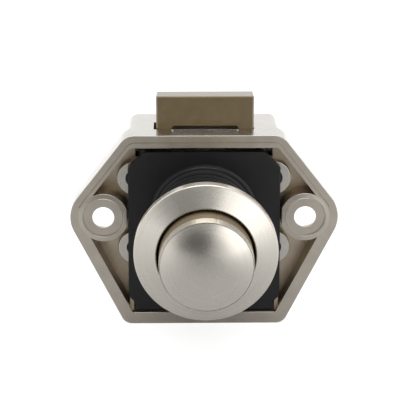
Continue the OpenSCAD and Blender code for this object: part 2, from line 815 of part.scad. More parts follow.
// Wire bent twice: one leg in the lug's hole, the tip in the track
module track_follower() {
    r = follower_wire / 2;
    tip_z = stem_h - track_depth + clip_gap;
    top_z = lug_top - clip_gap;
    color(steel) {
        translate([0, follower_y, tip_z]) cylinder(r = r, h = follower_z - tip_z);
        rod(0, follower_z, r, follower_y, anchor_y);
        translate([0, anchor_y, follower_z]) cylinder(r = r, h = top_z - follower_z);
        for (y = [follower_y, anchor_y]) translate([0, y, follower_z]) sphere(r);
    }
}

// Leaf spring: a tab on the lug, a leg down its face and a tongue on the wire
module follower_clip() {
    tab_back = box_floor - bevel;
    leg_y = lug_front - clip_gap / 2 - clip_t;
    tongue_z = follower_z + follower_wire / 2 + clip_gap;
    color(steel) difference() {
        union() {
            translate([-clip_w / 2, leg_y, lug_top])
                cube([clip_w / 2 + lug_right - bevel, tab_back - leg_y, clip_t]);
            translate([-clip_w / 2, leg_y, tongue_z])
                cube([clip_w, clip_t, lug_top - tongue_z + eps]);
            translate([-clip_w / 2, leg_y - clip_reach, tongue_z])
                cube([clip_w, clip_reach + eps, clip_t]);
        }
        translate([clip_screw_x, anchor_y, lug_top - eps])
            cylinder(d = clip_screw_d + 2 * pin_gap, h = clip_t + 2 * eps);
    }
}

module clip_screw() {
    head_low = lug_top + clip_t;
    tip = clip_bore_low + clip_gap;
    color(steel) translate([clip_screw_x, anchor_y, 0]) difference() {
        union() {
            translate([0, 0, tip]) cylinder(d = clip_screw_d, h = head_low + eps - tip);
            translate([0, 0, head_low]) cylinder(d = clip_head_d, h = clip_head_t);
        }
        translate([0, 0, head_low + clip_head_t])
            cube([2 * clip_head_d, clip_t, clip_head_t], center = true);
    }
}

// The bolt's front outline with its window, which reaches down to the sill's low end
module bolt_outline() {
    half = window_w / 2;
    c = window_corner;
    low = sill_z - bolt_t;
    difference() {
        translate([-bolt_w / 2, bolt_low]) square([bolt_w, bolt_top - bolt_low]);
        translate([-half, low]) square([window_w, window_top - c - low]);
        translate([-half + c, low]) square([window_w - 2 * c, window_top - low]);
        for (s = [-1, 1]) translate([s * (half - c), window_top - c]) circle(c);
    }
}

// A long cutter for a bevel along Z at one corner of the bolt
module edge_cutter(x, y) {
    translate([x, y, bolt_low - 1]) rotate([0, 0, 45])
        cube([bolt_edge * sqrt(2), bolt_edge * sqrt(2), 2 * (bolt_top - bolt_low + 2)],
             center = true);
}

// Sill across the window's bottom, sloping at 45 degrees under the plunger's ramp
module bolt_sill() {
    w = window_w + 2 * lap;
    translate([w / 2, 0, 0]) rotate([0, -90, 0]) linear_extrude(w)
        polygon([[sill_z, bolt_set], [sill_z - bolt_t, bolt_back],
                 [sill_z - bolt_t - lap, bolt_back], [sill_z - bolt_t - lap, bolt_set]]);
}

module latch_bolt() {
    color(tan_nylon) difference() {
        union() {
            slab(bolt_set, bolt_back) bolt_outline();
            bolt_sill();
        }
        for (x = [-bolt_w / 2, bolt_w / 2], y = [bolt_set, bolt_back]) edge_cutter(x, y);
        translate([-bolt_w, bolt_back, bolt_top]) rotate([45, 0, 0])
            cube([4 * bolt_w, bolt_edge * sqrt(2), bolt_edge * sqrt(2)], center = true);
        for (s = [-1, 1])
            translate([s * bolt_spring_x, bolt_spring_y, bolt_low - eps])
                cylinder(d = bolt_spring_d + 2 * pocket_gap, h = spring_pocket + eps);
    }
}

housing();
carrier();
carrier_screw_upper_left();
carrier_screw_upper_right();
carrier_screw_lower_left();
carrier_screw_lower_right();
rosette();
button_sleeve();
button_face();
button_core();
adjusting_stud();
lock_nut();
stud_pin();
plunger();
return_spring();
track_follower();
follower_clip();
clip_screw();
latch_bolt();
bolt_spring_left();
bolt_spring_right();
spring_pin_left();
spring_pin_right();
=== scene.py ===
"""Dresses the push button cabinet lock and sets up its studio.

The frame gives every body, node and place. Sizes here are in millimetres, in the
frame's own axes: X to the user's right, Y into the cabinet, Z the way the bolt
stands out. A mesh gets its metres when it is finished.
"""

import logging
import math
from dataclasses import dataclass, field
from enum import Enum
from typing import Any, Callable, Iterable, Sequence

import bmesh
import bpy
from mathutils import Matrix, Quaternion, Vector


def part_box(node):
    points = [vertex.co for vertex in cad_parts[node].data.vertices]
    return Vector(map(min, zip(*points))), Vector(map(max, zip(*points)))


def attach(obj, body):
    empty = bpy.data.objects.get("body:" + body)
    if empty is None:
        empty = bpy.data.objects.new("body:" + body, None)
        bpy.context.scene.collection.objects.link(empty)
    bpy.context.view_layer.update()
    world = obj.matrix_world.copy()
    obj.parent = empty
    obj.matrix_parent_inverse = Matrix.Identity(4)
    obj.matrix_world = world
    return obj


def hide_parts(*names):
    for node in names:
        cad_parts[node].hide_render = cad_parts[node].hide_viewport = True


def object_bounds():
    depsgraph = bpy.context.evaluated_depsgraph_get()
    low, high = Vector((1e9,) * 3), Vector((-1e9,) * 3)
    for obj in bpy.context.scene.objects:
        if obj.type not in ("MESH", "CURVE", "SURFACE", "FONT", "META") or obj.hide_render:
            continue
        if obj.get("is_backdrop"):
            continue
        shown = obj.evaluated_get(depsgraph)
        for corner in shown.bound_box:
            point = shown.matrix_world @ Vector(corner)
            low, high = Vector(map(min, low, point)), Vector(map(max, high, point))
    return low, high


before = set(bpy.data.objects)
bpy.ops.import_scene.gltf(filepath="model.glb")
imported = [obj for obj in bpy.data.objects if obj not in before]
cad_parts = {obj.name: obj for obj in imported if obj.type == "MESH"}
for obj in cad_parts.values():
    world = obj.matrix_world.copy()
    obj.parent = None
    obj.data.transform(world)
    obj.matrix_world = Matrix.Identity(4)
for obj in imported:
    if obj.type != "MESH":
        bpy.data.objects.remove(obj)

LOG = logging.getLogger("cabinet_lock")
MM = 0.001
FINE_STEPS = 288
CLOUD = (0.3, 0.7)
# How near a place counts as the same one, in millimetres, loosely and closely.
NEAR = 0.03
CLOSE = 0.01
# The part of a unit normal that tells a face across an axis from one along it.
STEEP = 0.5
STRAIGHT = 0.999

Colour = tuple[float, float, float]
Profile = list[tuple[float, float]]
Sides = list[tuple[Vector, float]]
Test = Callable[[bmesh.types.BMEdge], bool]


class Body(Enum):
    """The bodies that pieces ride on."""

    HOUSING = "housing"
    BUTTON = "button"
    BOLT = "bolt"
    ROSETTE = "rosette"


class Slot(Enum):
    """The material slots that pieces take their finish from."""

    CASTING = "plated_casting"
    SATIN = "satin_nickel"
    BLACK = "black_nylon"
    TAN = "tan_nylon"
    STEEL = "plated_steel"
    ZINC = "raw_zinc"
    SPRING = "spring_steel"


class Mark(Enum):
    """Masks that the meshes carry for the finishes."""

    WORN = "worn"
    # Where a finish takes a tint and painted shade: the casting's pocket, its groove and the
    # bolt's slot, and the button tube's side.
    INSIDE = "inside"


class Wiring:
    """Adds nodes and links to one node tree."""

    def __init__(self, tree: bpy.types.NodeTree) -> None:
        """Keeps the tree.

        Args:
            tree: The tree that the nodes go into.
        """
        self.tree = tree

    def feed(self, socket: bpy.types.NodeSocket, value: Any) -> None:
        """Links or sets one input.

        Args:
            socket: The input.
            value: An output socket to link, or a plain value.
        """
        if isinstance(value, bpy.types.NodeSocket):
            self.tree.links.new(value, socket)
        else:
            socket.default_value = value

    def add(self, kind: str, inputs: dict[str | int, Any] | None = None,
            **settings: Any) -> bpy.types.Node:
        """Adds a node.

        Args:
            kind: The node's type name.
            inputs: Values or output sockets for its inputs, by name or number.
            **settings: Properties of the node itself.

        Returns:
            The node.
        """
        node = self.tree.nodes.new(kind)
        for name, value in settings.items():
            setattr(node, name, value)
        for key, value in (inputs or {}).items():
            self.feed(node.inputs[key], value)
        return node

    def math(self, operation: str, *values: Any, clamp: bool = False) -> bpy.types.NodeSocket:
        """Adds a math node.

        Args:
            operation: Its operation.
            *values: Its inputs in order.
            clamp: Whether the result is kept within 0 and 1.

        Returns:
            The result's socket.
        """
        return self.add("ShaderNodeMath", dict(enumerate(values)), operation=operation,
                        use_clamp=clamp).outputs[0]

    def mix(self, factor: Any, low: Any, high: Any) -> bpy.types.NodeSocket:
        """Mixes two colours.

        Args:
            factor: The share of the second one.
            low: The first colour.
            high: The second colour.

        Returns:
            The mixed colour's socket.
        """
        node = self.add("ShaderNodeMix", data_type="RGBA")
        for index, value in ((0, factor), (6, low), (7, high)):
            self.feed(node.inputs[index],
                      (*value, 1.0) if isinstance(value, tuple) and len(value) == 3 else value)
        return node.outputs[2]

    def span(self, value: Any, low: float, high: float, start: float,
             end: float) -> bpy.types.NodeSocket:
        """Maps one range of a value to another, within its ends.

        Args:
            value: The value's socket.
            low: Where the first range starts.
            high: Where it ends.
            start: The result at its start.
            end: The result at its end.

        Returns:
            The mapped value's socket.
        """
        return self.add("ShaderNodeMapRange", {0: value, 1: low, 2: high, 3: start, 4: end},
                        clamp=True).outputs[0]

    def noise(self, vector: Any, scale: Any, detail: float = 3.0,
              distortion: float = 0.0) -> bpy.types.NodeSocket:
        """Adds a noise texture.

        Args:
            vector: The place that it reads.
            scale: Its scale.
            detail: Its number of octaves.
            distortion: How far it is bent.

        Returns:
            The noise value's socket.
        """
        return self.add("ShaderNodeTexNoise", {
            "Vector": vector, "Scale": scale, "Detail": detail,
            "Distortion": distortion}).outputs[0]

    def mark(self, mark: Mark) -> bpy.types.NodeSocket:
        """Reads one of the masks that the meshes carry."""
        return self.add("ShaderNodeAttribute", attribute_name=mark.value).outputs["Fac"]

    def place(self) -> bpy.types.NodeSocket:
        """Reads the place on the object.

        Returns:
            The place's socket, in millimetres.
        """
        return self.add("ShaderNodeMapping", {
            "Vector": self.add("ShaderNodeTexCoord").outputs["Object"],
            "Scale": (1 / MM,) * 3}).outputs[0]

    def parts(self, vector: Any) -> Sequence[bpy.types.NodeSocket]:
        """Splits a vector into its three values."""
        return self.add("ShaderNodeSeparateXYZ", {0: vector}).outputs

    def end(self, result: bpy.types.Node, *values: Any) -> bpy.types.NodeTree:
        """Feeds a group's outputs in order.

        Args:
            result: The group's output node.
            *values: What it puts out.

        Returns:
            The group.
        """
        for socket, value in zip(result.inputs, values):
            self.feed(socket, value)
        return self.tree


def blank_material(name: str) -> tuple[bpy.types.Material, Wiring, bpy.types.Node]:
    """Makes a material.

    Args:
        name: Its name.

    Returns:
        The material, its wiring and its surface shader.
    """
    made = bpy.data.materials.new(name)
    made.use_nodes = True
    return made, Wiring(made.node_tree), made.node_tree.nodes["Principled BSDF"]


def put(name: str, data: Any) -> bpy.types.Object:
    """Makes an object and puts it into the scene.

    Args:
        name: Its name.
        data: Its mesh, camera or light.

    Returns:
        The object.
    """
    made = bpy.data.objects.new(name, data)
    bpy.context.scene.collection.objects.link(made)
    return made


def meshed(name: str, shape: bmesh.types.BMesh) -> bpy.types.Mesh:
    """Turns a shape into a mesh.

    Args:
        name: The mesh's name.
        shape: The shape, which this uses up.

    Returns:
        The mesh.
    """
    mesh = bpy.data.meshes.new(name)
    shape.to_mesh(mesh)
    shape.free()
    return mesh


def baked(made: bpy.types.Object) -> bpy.types.Mesh:
    """Bakes an object's modifiers and removes them.

    Args:
        made: The object.

    Returns:
        The plain mesh that they give.
    """
    graph = bpy.context.evaluated_depsgraph_get()
    plain = bpy.data.meshes.new_from_object(made.evaluated_get(graph))
    made.modifiers.clear()
    plain.name = made.name
    return plain


def lies(edge: bmesh.types.BMEdge, axis: int, place: float) -> bool:
    """Tells whether an edge lies in a plane across an axis."""
    return all(abs(v.co[axis] - place) < NEAR for v in edge.verts)


class Effects:
    """Shader node groups for effects that several finishes share.

    The slow part of a noise has `slow` times the fine part's scale.
    """

    slow: float = 0.12
    marks_bend: float = 0.8
    marks_range: tuple[float, float] = (0.42, 0.68)
    patch_scale: float = 0.5
    patch_range: tuple[float, float] = (0.35, 0.65)
    patch_least: float = 0.35

    def __init__(self) -> None:
        """Builds each group once."""
        self.cast_grain = self._cast_grain()
        self.turned_lines = self._turned_lines()
        self.handling = self._handling()
        self.worn_edges = self._worn_edges()

    @staticmethod
    def _group(name: str, label: str, *outputs: str) -> tuple[
            Wiring, bpy.types.Node, bpy.types.NodeSocket, bpy.types.NodeSocket]:
        """Starts a group that takes a place and one value.

        Args:
            name: The group's name.
            label: The value's name.
            *outputs: Its outputs' names, all of them single values.

        Returns:
            The group's wiring, its output node, and the place's and the value's sockets.
        """
        tree = bpy.data.node_groups.new(name, "ShaderNodeTree")
        tree.interface.new_socket("Place", in_out="INPUT", socket_type="NodeSocketVector")
        tree.interface.new_socket(label, in_out="INPUT", socket_type="NodeSocketFloat")
        for made in outputs:
            tree.interface.new_socket(made, in_out="OUTPUT", socket_type="NodeSocketFloat")
        wiring = Wiring(tree)
        return wiring, wiring.add("NodeGroupOutput"), *wiring.add("NodeGroupInput").outputs[:2]

    def _cast_grain(self) -> bpy.types.NodeTree:
        """Makes the soft unevenness of a cast or moulded surface.

        Returns:
            The group, with a height and a slow cloud.
        """
        w, result, place, grain = self._group("cast_grain", "Grain", "Height", "Cloud")
        fine = w.noise(place, w.math("DIVIDE", 1.0, grain), 4.0)
        broad = w.noise(place, w.math("DIVIDE", self.slow, grain), 2.0)
        return w.end(result, w.math("MULTIPLY_ADD", broad, 2.0, fine), broad)

    def _turned_lines(self) -> bpy.types.NodeTree:
        """Makes the fine rings that turning leaves about the button's axis.

        Returns:
            The group, with a height and a value for slow bands.
        """
        w, result, place, pitch = self._group("turned_lines", "Pitch", "Height", "Band")
        across, _, up = w.parts(place)
        square = w.math("MULTIPLY_ADD", up, up, w.math("MULTIPLY", across, across))
        radius = w.math("SQRT", square)
        rings = w.math("DIVIDE", radius, pitch)
        turn = {1: w.math("DIVIDE", across, radius), 2: w.math("DIVIDE", up, radius)}
        fine = w.add("ShaderNodeCombineXYZ", {0: rings, **turn})
        broad = w.add("ShaderNodeCombineXYZ",
                      {0: w.math("MULTIPLY", rings, self.slow), **turn})
        return w.end(result, w.noise(fine.outputs[0], 1.0, 2.0),
                     w.noise(broad.outputs[0], 1.0, 1.0))

    def _handling(self) -> bpy.types.NodeTree:
        """Makes the faint marks that fingers and a cloth leave on a smooth surface.

        Returns:
            The group, with a mask.
        """
        w, result, place, size = self._group("handling", "Size", "Mask")
        bent = w.noise(place, w.math("DIVIDE", 1.0, size), distortion=self.marks_bend)
        return w.end(result, w.span(bent, *self.marks_range, 0.0, 1.0))

    def _worn_edges(self) -> bpy.types.NodeTree:
        """Breaks up the mask that rounded edges carry, so that wear comes and goes.

        Returns:
            The group, with a mask.
        """
        w, result, place, edge = self._group("worn_edges", "Edge", "Mask")
        patches = w.span(w.noise(place, self.patch_scale, 4.0), *self.patch_range,
                         self.patch_least, 1.0)
        return w.end(result, w.math("MULTIPLY", edge, patches, clamp=True))


@dataclass(frozen=True)
class Finish:
    """A finish, with the values that its material is made from."""

    name: str
    colour: Colour
    roughness: float
    relief: float = 0.004
    grain: float = 0.2
    shade: float = 0.86
    mark_size: float = 2.5
    smear: float = 0.1

    def start(self) -> tuple[bpy.types.Material, Wiring, bpy.types.Node,
                             bpy.types.NodeSocket]:
        """Starts the material with the place on the piece in millimetres.

        Returns:
            The material, its wiring, the surface shader and the place's socket.
        """
        material, wiring, surface = blank_material(self.name)
        material.diffuse_color = (*self.colour, 1.0)
        return material, wiring, surface, wiring.place()

    @staticmethod
    def group(wiring: Wiring, tree: bpy.types.NodeTree, *values: Any,
              ) -> Sequence[bpy.types.NodeSocket]:
        """Places a shared effect.

        Args:
            wiring: The material's wiring.
            tree: The effect's group.
            *values: The group's inputs in order.

        Returns:
            The group's outputs.
        """
        node = wiring.add("ShaderNodeGroup", node_tree=tree)
        for socket, value in zip(node.inputs, values):
            wiring.feed(socket, value)
        return node.outputs

    @staticmethod
    def clouded(w: Wiring, broad: bpy.types.NodeSocket, colour: Colour, low: float,
                high: float = 1.0) -> bpy.types.NodeSocket:
        """Lets a colour drift between two shades of itself.

        Args:
            w: The material's wiring.
            broad: The slow noise that it follows.
            colour: The colour.
            low: The darker shade's share of it.
            high: The lighter shade's share of it.

        Returns:
            The colour's socket.
        """
        cloud = w.span(broad, *CLOUD, 0.0, 1.0)
        return w.mix(cloud, tuple(low * c for c in colour), tuple(high * c for c in colour))

    def smeared(self, w: Wiring, effects: Effects,
                place: bpy.types.NodeSocket) -> bpy.types.NodeSocket:
        """Gives the roughness, with the marks of handling in it."""
        marks = self.group(w, effects.handling, place, self.mark_size)[0]
        return w.math("MULTIPLY_ADD", marks, self.smear, self.roughness)

    @staticmethod
    def paint(w: Wiring, surface: bpy.types.Node, colour: Any, rough: Any,
              metal: float) -> None:
        """Sets the surface's main values.

        Args:
            w: The material's wiring.
            surface: The surface shader.
            colour: Its colour, a socket or a value.
            rough: Its roughness, a socket or a value.
            metal: Its share of metal.
        """
        w.feed(surface.inputs["Base Color"], colour)
        w.feed(surface.inputs["Roughness"], rough)
        surface.inputs["Metallic"].default_value = metal

    def emboss(self, wiring: Wiring, surface: bpy.types.Node, height: Any) -> None:
        """Turns a height into the surface's relief.

        Args:
            wiring: The material's wiring.
            surface: The surface shader.
            height: The height's socket.
        """
        bump = wiring.add("ShaderNodeBump", {"Height": height, "Distance": self.relief * MM,
                                             "Strength": 1.0})
        wiring.feed(surface.inputs["Normal"], bump.outputs[0])

    def material(self, effects: Effects) -> bpy.types.Material:
        """Makes the material.

        Args:
            effects: The shared effects.

        Returns:
            The material.
        """
        raise NotImplementedError


@dataclass(frozen=True)
class BrightPlate(Finish):
    """Bright nickel plate over a casting, yellower where the plating is thin inside and darker
    there as painted shade.
    """

    grain: float = 0.35
    shade: float = 0.94
    mark_size: float = 4.0
    smear: float = 0.06
    polish: float = 0.05
    # Thin-plate tint with painted shade: yellower and darker than the plate.
    tint_and_shade_colour: Colour = (0.62, 0.52, 0.39)
    inner_shade: float = 0.85
    inner_roughness: float = 0.38
    worn_colour: Colour = (0.84, 0.82, 0.78)
    ring_x: float = 22.6
    ring_y: float = 1.0
    ring_radius: float = 4.5
    ring_width: float = 1.0
    ring_fall: float = 0.11
    ring_line: float = 0.09

    def material(self, effects: Effects) -> bpy.types.Material:
        """Makes the material.

        Args:
            effects: The shared effects.

        Returns:
            The material.
        """
        made, w, surface, place = self.start()
        height, broad = self.group(w, effects.cast_grain, place, self.grain)
        # The inside mask mixes in the tint-and-shade colour: thin plating's yellow with
        # painted shade in the pocket, its groove and the bolt's slot.
        inside = w.mark(Mark.INSIDE)
        worn = self.group(w, effects.worn_edges, place, w.mark(Mark.WORN))[0]
        plate = self.clouded(w, broad, self.colour, self.shade)
        inner = self.clouded(w, broad, self.tint_and_shade_colour, self.inner_shade)
        rough = self.smeared(w, effects, place)
        rough = w.math("MULTIPLY_ADD", worn, -self.polish, rough)
        rough = w.math("MULTIPLY_ADD", inside, self.inner_roughness - self.roughness, rough)
        self.paint(w, surface, w.mix(worn, w.mix(inside, plate, inner), self.worn_colour),
                   rough, 1.0)
        ring = w.math("DIVIDE", self.boss_ring(w, place), self.relief)
        self.emboss(w, surface, w.math("ADD", height, ring))
        return made

    def boss_ring(self, w: Wiring, place: bpy.types.NodeSocket) -> bpy.types.NodeSocket:
        """Gives the height of the bevelled ring round each boss, in millimetres.

        Args:
            w: The material's wiring.
            place: The place's socket.

        Returns:
            The height's socket: a fine line, then a fall across the ring.
        """
        at = w.parts(place)
        aside = w.math("SUBTRACT", w.math("ABSOLUTE", at[0]), self.ring_x)
        radius = w.math("SQRT", w.math("MULTIPLY_ADD", at[2], at[2],
                                       w.math("MULTIPLY", aside, aside)))
        fall = w.span(radius, self.ring_radius, self.ring_radius + self.ring_width, 0.0,
                      -self.ring_fall)
        off = w.math("ABSOLUTE", w.math("SUBTRACT", radius, self.ring_radius))
        line = w.span(off, 0.0, self.ring_line, -self.ring_line, 0.0)
        return w.math("MULTIPLY", w.math("ADD", fall, line),
                      w.math("LESS_THAN", at[1], self.ring_y))


@dataclass(frozen=True)
class TurnedNickel(Finish):
    """Satin nickel, turned about the button's axis, with painted shade on the button tube's
    side.
    """

    relief: float = 0.0012
    grain: float = 0.05
    shade: float = 0.95
    mark_size: float = 6.0
    smear: float = 0.03
    # Painted shade: the brown, duller colour of the tube's side, as it looks in the ring nut's
    # shade.
    painted_shade_colour: Colour = (0.34, 0.27, 0.18)
    dull_roughness: float = 0.6

    def material(self, effects: Effects) -> bpy.types.Material:
        """Makes the material.

        Args:
            effects: The shared effects.

        Returns:
            The material.
        """
        made, w, surface, place = self.start()
        height, broad = self.group(w, effects.turned_lines, place, self.grain)
        # Painted shade on the tube's side, with more roughness there.
        painted_shade_mask = w.mark(Mark.INSIDE)
        rough = w.math("MULTIPLY_ADD", painted_shade_mask, self.dull_roughness - self.roughness,
                       self.smeared(w, effects, place))
        satin = self.clouded(w, broad, self.colour, self.shade)
        self.paint(w, surface, w.mix(painted_shade_mask, satin, self.painted_shade_colour), rough, 1.0)
        self.emboss(w, surface, height)
        return made


@dataclass(frozen=True)
class Moulded(Finish):
    """Moulded nylon with a fine grain, a little paler where its edges are rubbed."""

    relief: float = 0.01
    grain: float = 0.3
    shade: float = 0.9
    light: float = 1.08
    mark_size: float = 5.0
    smear: float = 0.07
    rub: float = 0.35
    rub_lift: float = 0.01
    shine: float = 0.5
    coat: float = 0.0

    def material(self, effects: Effects) -> bpy.types.Material:
        """Makes the material.

        Args:
            effects: The shared effects.

        Returns:
            The material.
        """
        made, w, surface, place = self.start()
        height, broad = self.group(w, effects.cast_grain, place, self.grain)
        worn = self.group(w, effects.worn_edges, place, w.mark(Mark.WORN))[0]
        base = self.clouded(w, broad, self.colour, self.shade, self.light)
        rubbed = tuple(min(1.0, c * (1 + self.rub) + self.rub_lift) for c in self.colour)
        self.paint(w, surface, w.mix(worn, base, rubbed), self.smeared(w, effects, place), 0.0)
        surface.inputs["Specular IOR Level"].default_value = self.shine
        surface.inputs["Coat Weight"].default_value = self.coat
        surface.inputs["Coat Roughness"].default_value = self.roughness / 2
        self.emboss(w, surface, height)
        return made


@dataclass(frozen=True)
class PlainMetal(Finish):
    """Plated, drawn or cast metal of the inner pieces and the fasteners."""

    def material(self, effects: Effects) -> bpy.types.Material:
        """Makes the material.

        Args:
            effects: The shared effects.

        Returns:
            The material.
        """
        made, w, surface, place = self.start()
        height, broad = self.group(w, effects.cast_grain, place, self.grain)
        self.paint(w, surface, self.clouded(w, broad, self.colour, self.shade),
                   self.smeared(w, effects, place), 1.0)
        self.emboss(w, surface, height)
        return made


FINISHES: dict[Slot, Finish] = {
    Slot.CASTING: BrightPlate("bright_plate", (0.755, 0.73, 0.685), 0.22),
    Slot.SATIN: TurnedNickel("turned_nickel", (0.87, 0.825, 0.745), 0.27),
    Slot.BLACK: Moulded("black_moulding", (0.0125, 0.0125, 0.0145), 0.36),
    Slot.TAN: Moulded("tan_moulding", (0.2, 0.137, 0.052), 0.2, rub=0.15, shine=1.0,
                      coat=0.8),
    Slot.STEEL: PlainMetal("bright_steel", (0.62, 0.63, 0.65), 0.28),
    Slot.ZINC: PlainMetal("tumbled_zinc", (0.48, 0.49, 0.50), 0.42, 0.012, 0.5),
    Slot.SPRING: PlainMetal("drawn_wire", (0.55, 0.56, 0.58), 0.25),
}


class Workshop:
    """Holds the finishes and turns meshes into finished pieces."""

    sharp: float = math.radians(28)
    weld: float = 0.0002
    flat: float = math.radians(0.3)

    def __init__(self) -> None:
        """Makes every finish's material."""
        effects = Effects()
        self.materials = {slot: finish.material(effects) for slot, finish in FINISHES.items()}

    def copy(self, node: str) -> bmesh.types.BMesh:
        """Copies a node's mesh in millimetres, joined and with its flat faces whole.

        Args:
            node: The node's name.

        Returns:
            The mesh, with empty masks.
        """
        shape = bmesh.new()
        shape.from_mesh(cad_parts[node].data)
        bmesh.ops.scale(shape, vec=(1 / MM,) * 3, verts=shape.verts)
        bmesh.ops.remove_doubles(shape, verts=shape.verts, dist=self.weld)
        bmesh.ops.dissolve_limit(shape, angle_limit=self.flat, verts=shape.verts,
                                 edges=shape.edges, use_dissolve_boundaries=False)
        self.add_marks(shape)
        return shape

    @staticmethod
    def add_marks(shape: bmesh.types.BMesh) -> None:
        """Gives a mesh its empty masks."""
        for mark in Mark:
            shape.loops.layers.float.new(mark.value)

    @staticmethod
    def mark(shape: bmesh.types.BMesh, face: bmesh.types.BMFace, mark: Mark,
             share: float = 1.0) -> None:
        """Writes one face's share of a mask.

        Args:
            shape: The mesh.
            face: The face.
            mark: The mask.
            share: The share.
        """
        layer = shape.loops.layers.float[mark.value]
        for loop in face.loops:
            loop[layer] = share

    def round(self, shape: bmesh.types.BMesh, chosen: Test, width: float,
              segments: int = 3) -> None:
        """Rounds the sharp edges that a test picks, and marks them as worn.

        Args:
            shape: The mesh in millimetres.
            chosen: The test of an edge.
            width: The rounding's width.
            segments: How many steps it has.
        """
        edges = [e for e in shape.edges
                 if e.is_manifold and e.calc_face_angle_signed() > self.sharp and chosen(e)]
        done = bmesh.ops.bevel(shape, geom=edges, offset=width, offset_type="OFFSET",
                               segments=segments, profile=0.5, affect="EDGES",
                               clamp_overlap=False, loop_slide=True)
        for face in done["faces"]:
            self.mark(shape, face, Mark.WORN)

    @staticmethod
    def refill(shape: bmesh.types.BMesh, y: float) -> None:
        """Fills the flat back, which has holes, anew with even triangles.

        Args:
            shape: The mesh in millimetres.
            y: The back's place.
        """
        shape.normal_update()
        flat = {f for f in shape.faces if f.normal.y > STRAIGHT
                and all(abs(v.co.y - y) < NEAR for v in f.verts)}
        border = [e for e in shape.edges if sum(f in flat for f in e.link_faces) == 1]
        bmesh.ops.delete(shape, geom=list(flat), context="FACES")
        bmesh.ops.triangle_fill(shape, edges=border, use_beauty=True, normal=(0, 1, 0))
        shape.normal_update()

    def turned(self, points: Profile, steps: int = FINE_STEPS) -> bmesh.types.BMesh:
        """Turns a closed profile about the button's axis.

        Args:
            points: Radius and Y of each point. A radius of 0 is a pole.
            steps: How many faces go round.

        Returns:
            The closed mesh, in millimetres.
        """
        shape = bmesh.new()
        turns = [math.tau * k / steps for k in range(steps)]
        rings = [[shape.verts.new((radius * math.cos(a), y, radius * math.sin(a)))
                  for a in turns] if radius else [shape.verts.new((0, y, 0))] * steps
                 for radius, y in points]
        pairs = list(zip(rings, rings[1:]))
        if points[0][0] and points[-1][0]:
            pairs.append((rings[-1], rings[0]))
        for low, high in pairs:
            for k in range(steps):
                n = (k + 1) % steps
                corners = list(dict.fromkeys((low[k], low[n], high[n], high[k])))
                if len(corners) > 2:
                    shape.faces.new(corners)
        bmesh.ops.recalc_face_normals(shape, faces=shape.faces)
        self.add_marks(shape)
        return shape

    def piece(self, name: str, shape: bmesh.types.BMesh, slot: Slot,
              body: Body, replaces: Iterable[str] = ()) -> bpy.types.Object:
        """Finishes a piece: mesh, shading, material, body and slot.

        Args:
            name: The piece's name.
            shape: Its mesh in millimetres, which this uses up.
            slot: The slot whose finish it takes.
            body: The body that it rides on.
            replaces: The nodes that it stands for.

        Returns:
            The piece.
        """
        for face in shape.faces:
            face.smooth = True
        for edge in shape.edges:
            edge.smooth = edge.is_manifold and edge.calc_face_angle() < self.sharp
        bmesh.ops.scale(shape, vec=(MM,) * 3, verts=shape.verts)
        mesh = meshed(name, shape)
        for old in [a for a in mesh.attributes if a.name == "custom_normal"]:
            mesh.attributes.remove(old)
        mesh.materials.clear()
        mesh.materials.append(self.materials[slot])
        made = put(name, mesh)
        made.modifiers.new("even_faces", "WEIGHTED_NORMAL").keep_sharp = True
        made.data = baked(made)
        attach(made, body.value)
        if replaces:
            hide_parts(*replaces)
        LOG.info("%s: %d faces, rides on %s", name, len(made.data.polygons), body.value)
        return made

    @staticmethod
    def opened(mesh: bpy.types.Mesh) -> bmesh.types.BMesh:
        """Opens a mesh to be worked on.

        Args:
            mesh: The mesh, in metres.

        Returns:
            Its shape in millimetres.
        """
        shape = bmesh.new()
        shape.from_mesh(mesh)
        bmesh.ops.scale(shape, vec=(1 / MM,) * 3, verts=shape.verts)
        return shape

    def dress(self, node: str, slot: Slot) -> None:
        """Gives a node that stays as it is its material.

        Args:
            node: The node's name.
            slot: The slot whose finish it takes.
        """
        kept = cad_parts[node]
        kept.data.materials.clear()
        kept.data.materials.append(self.materials[slot])
        LOG.info("%s: kept, finished in %s", node, slot.value)


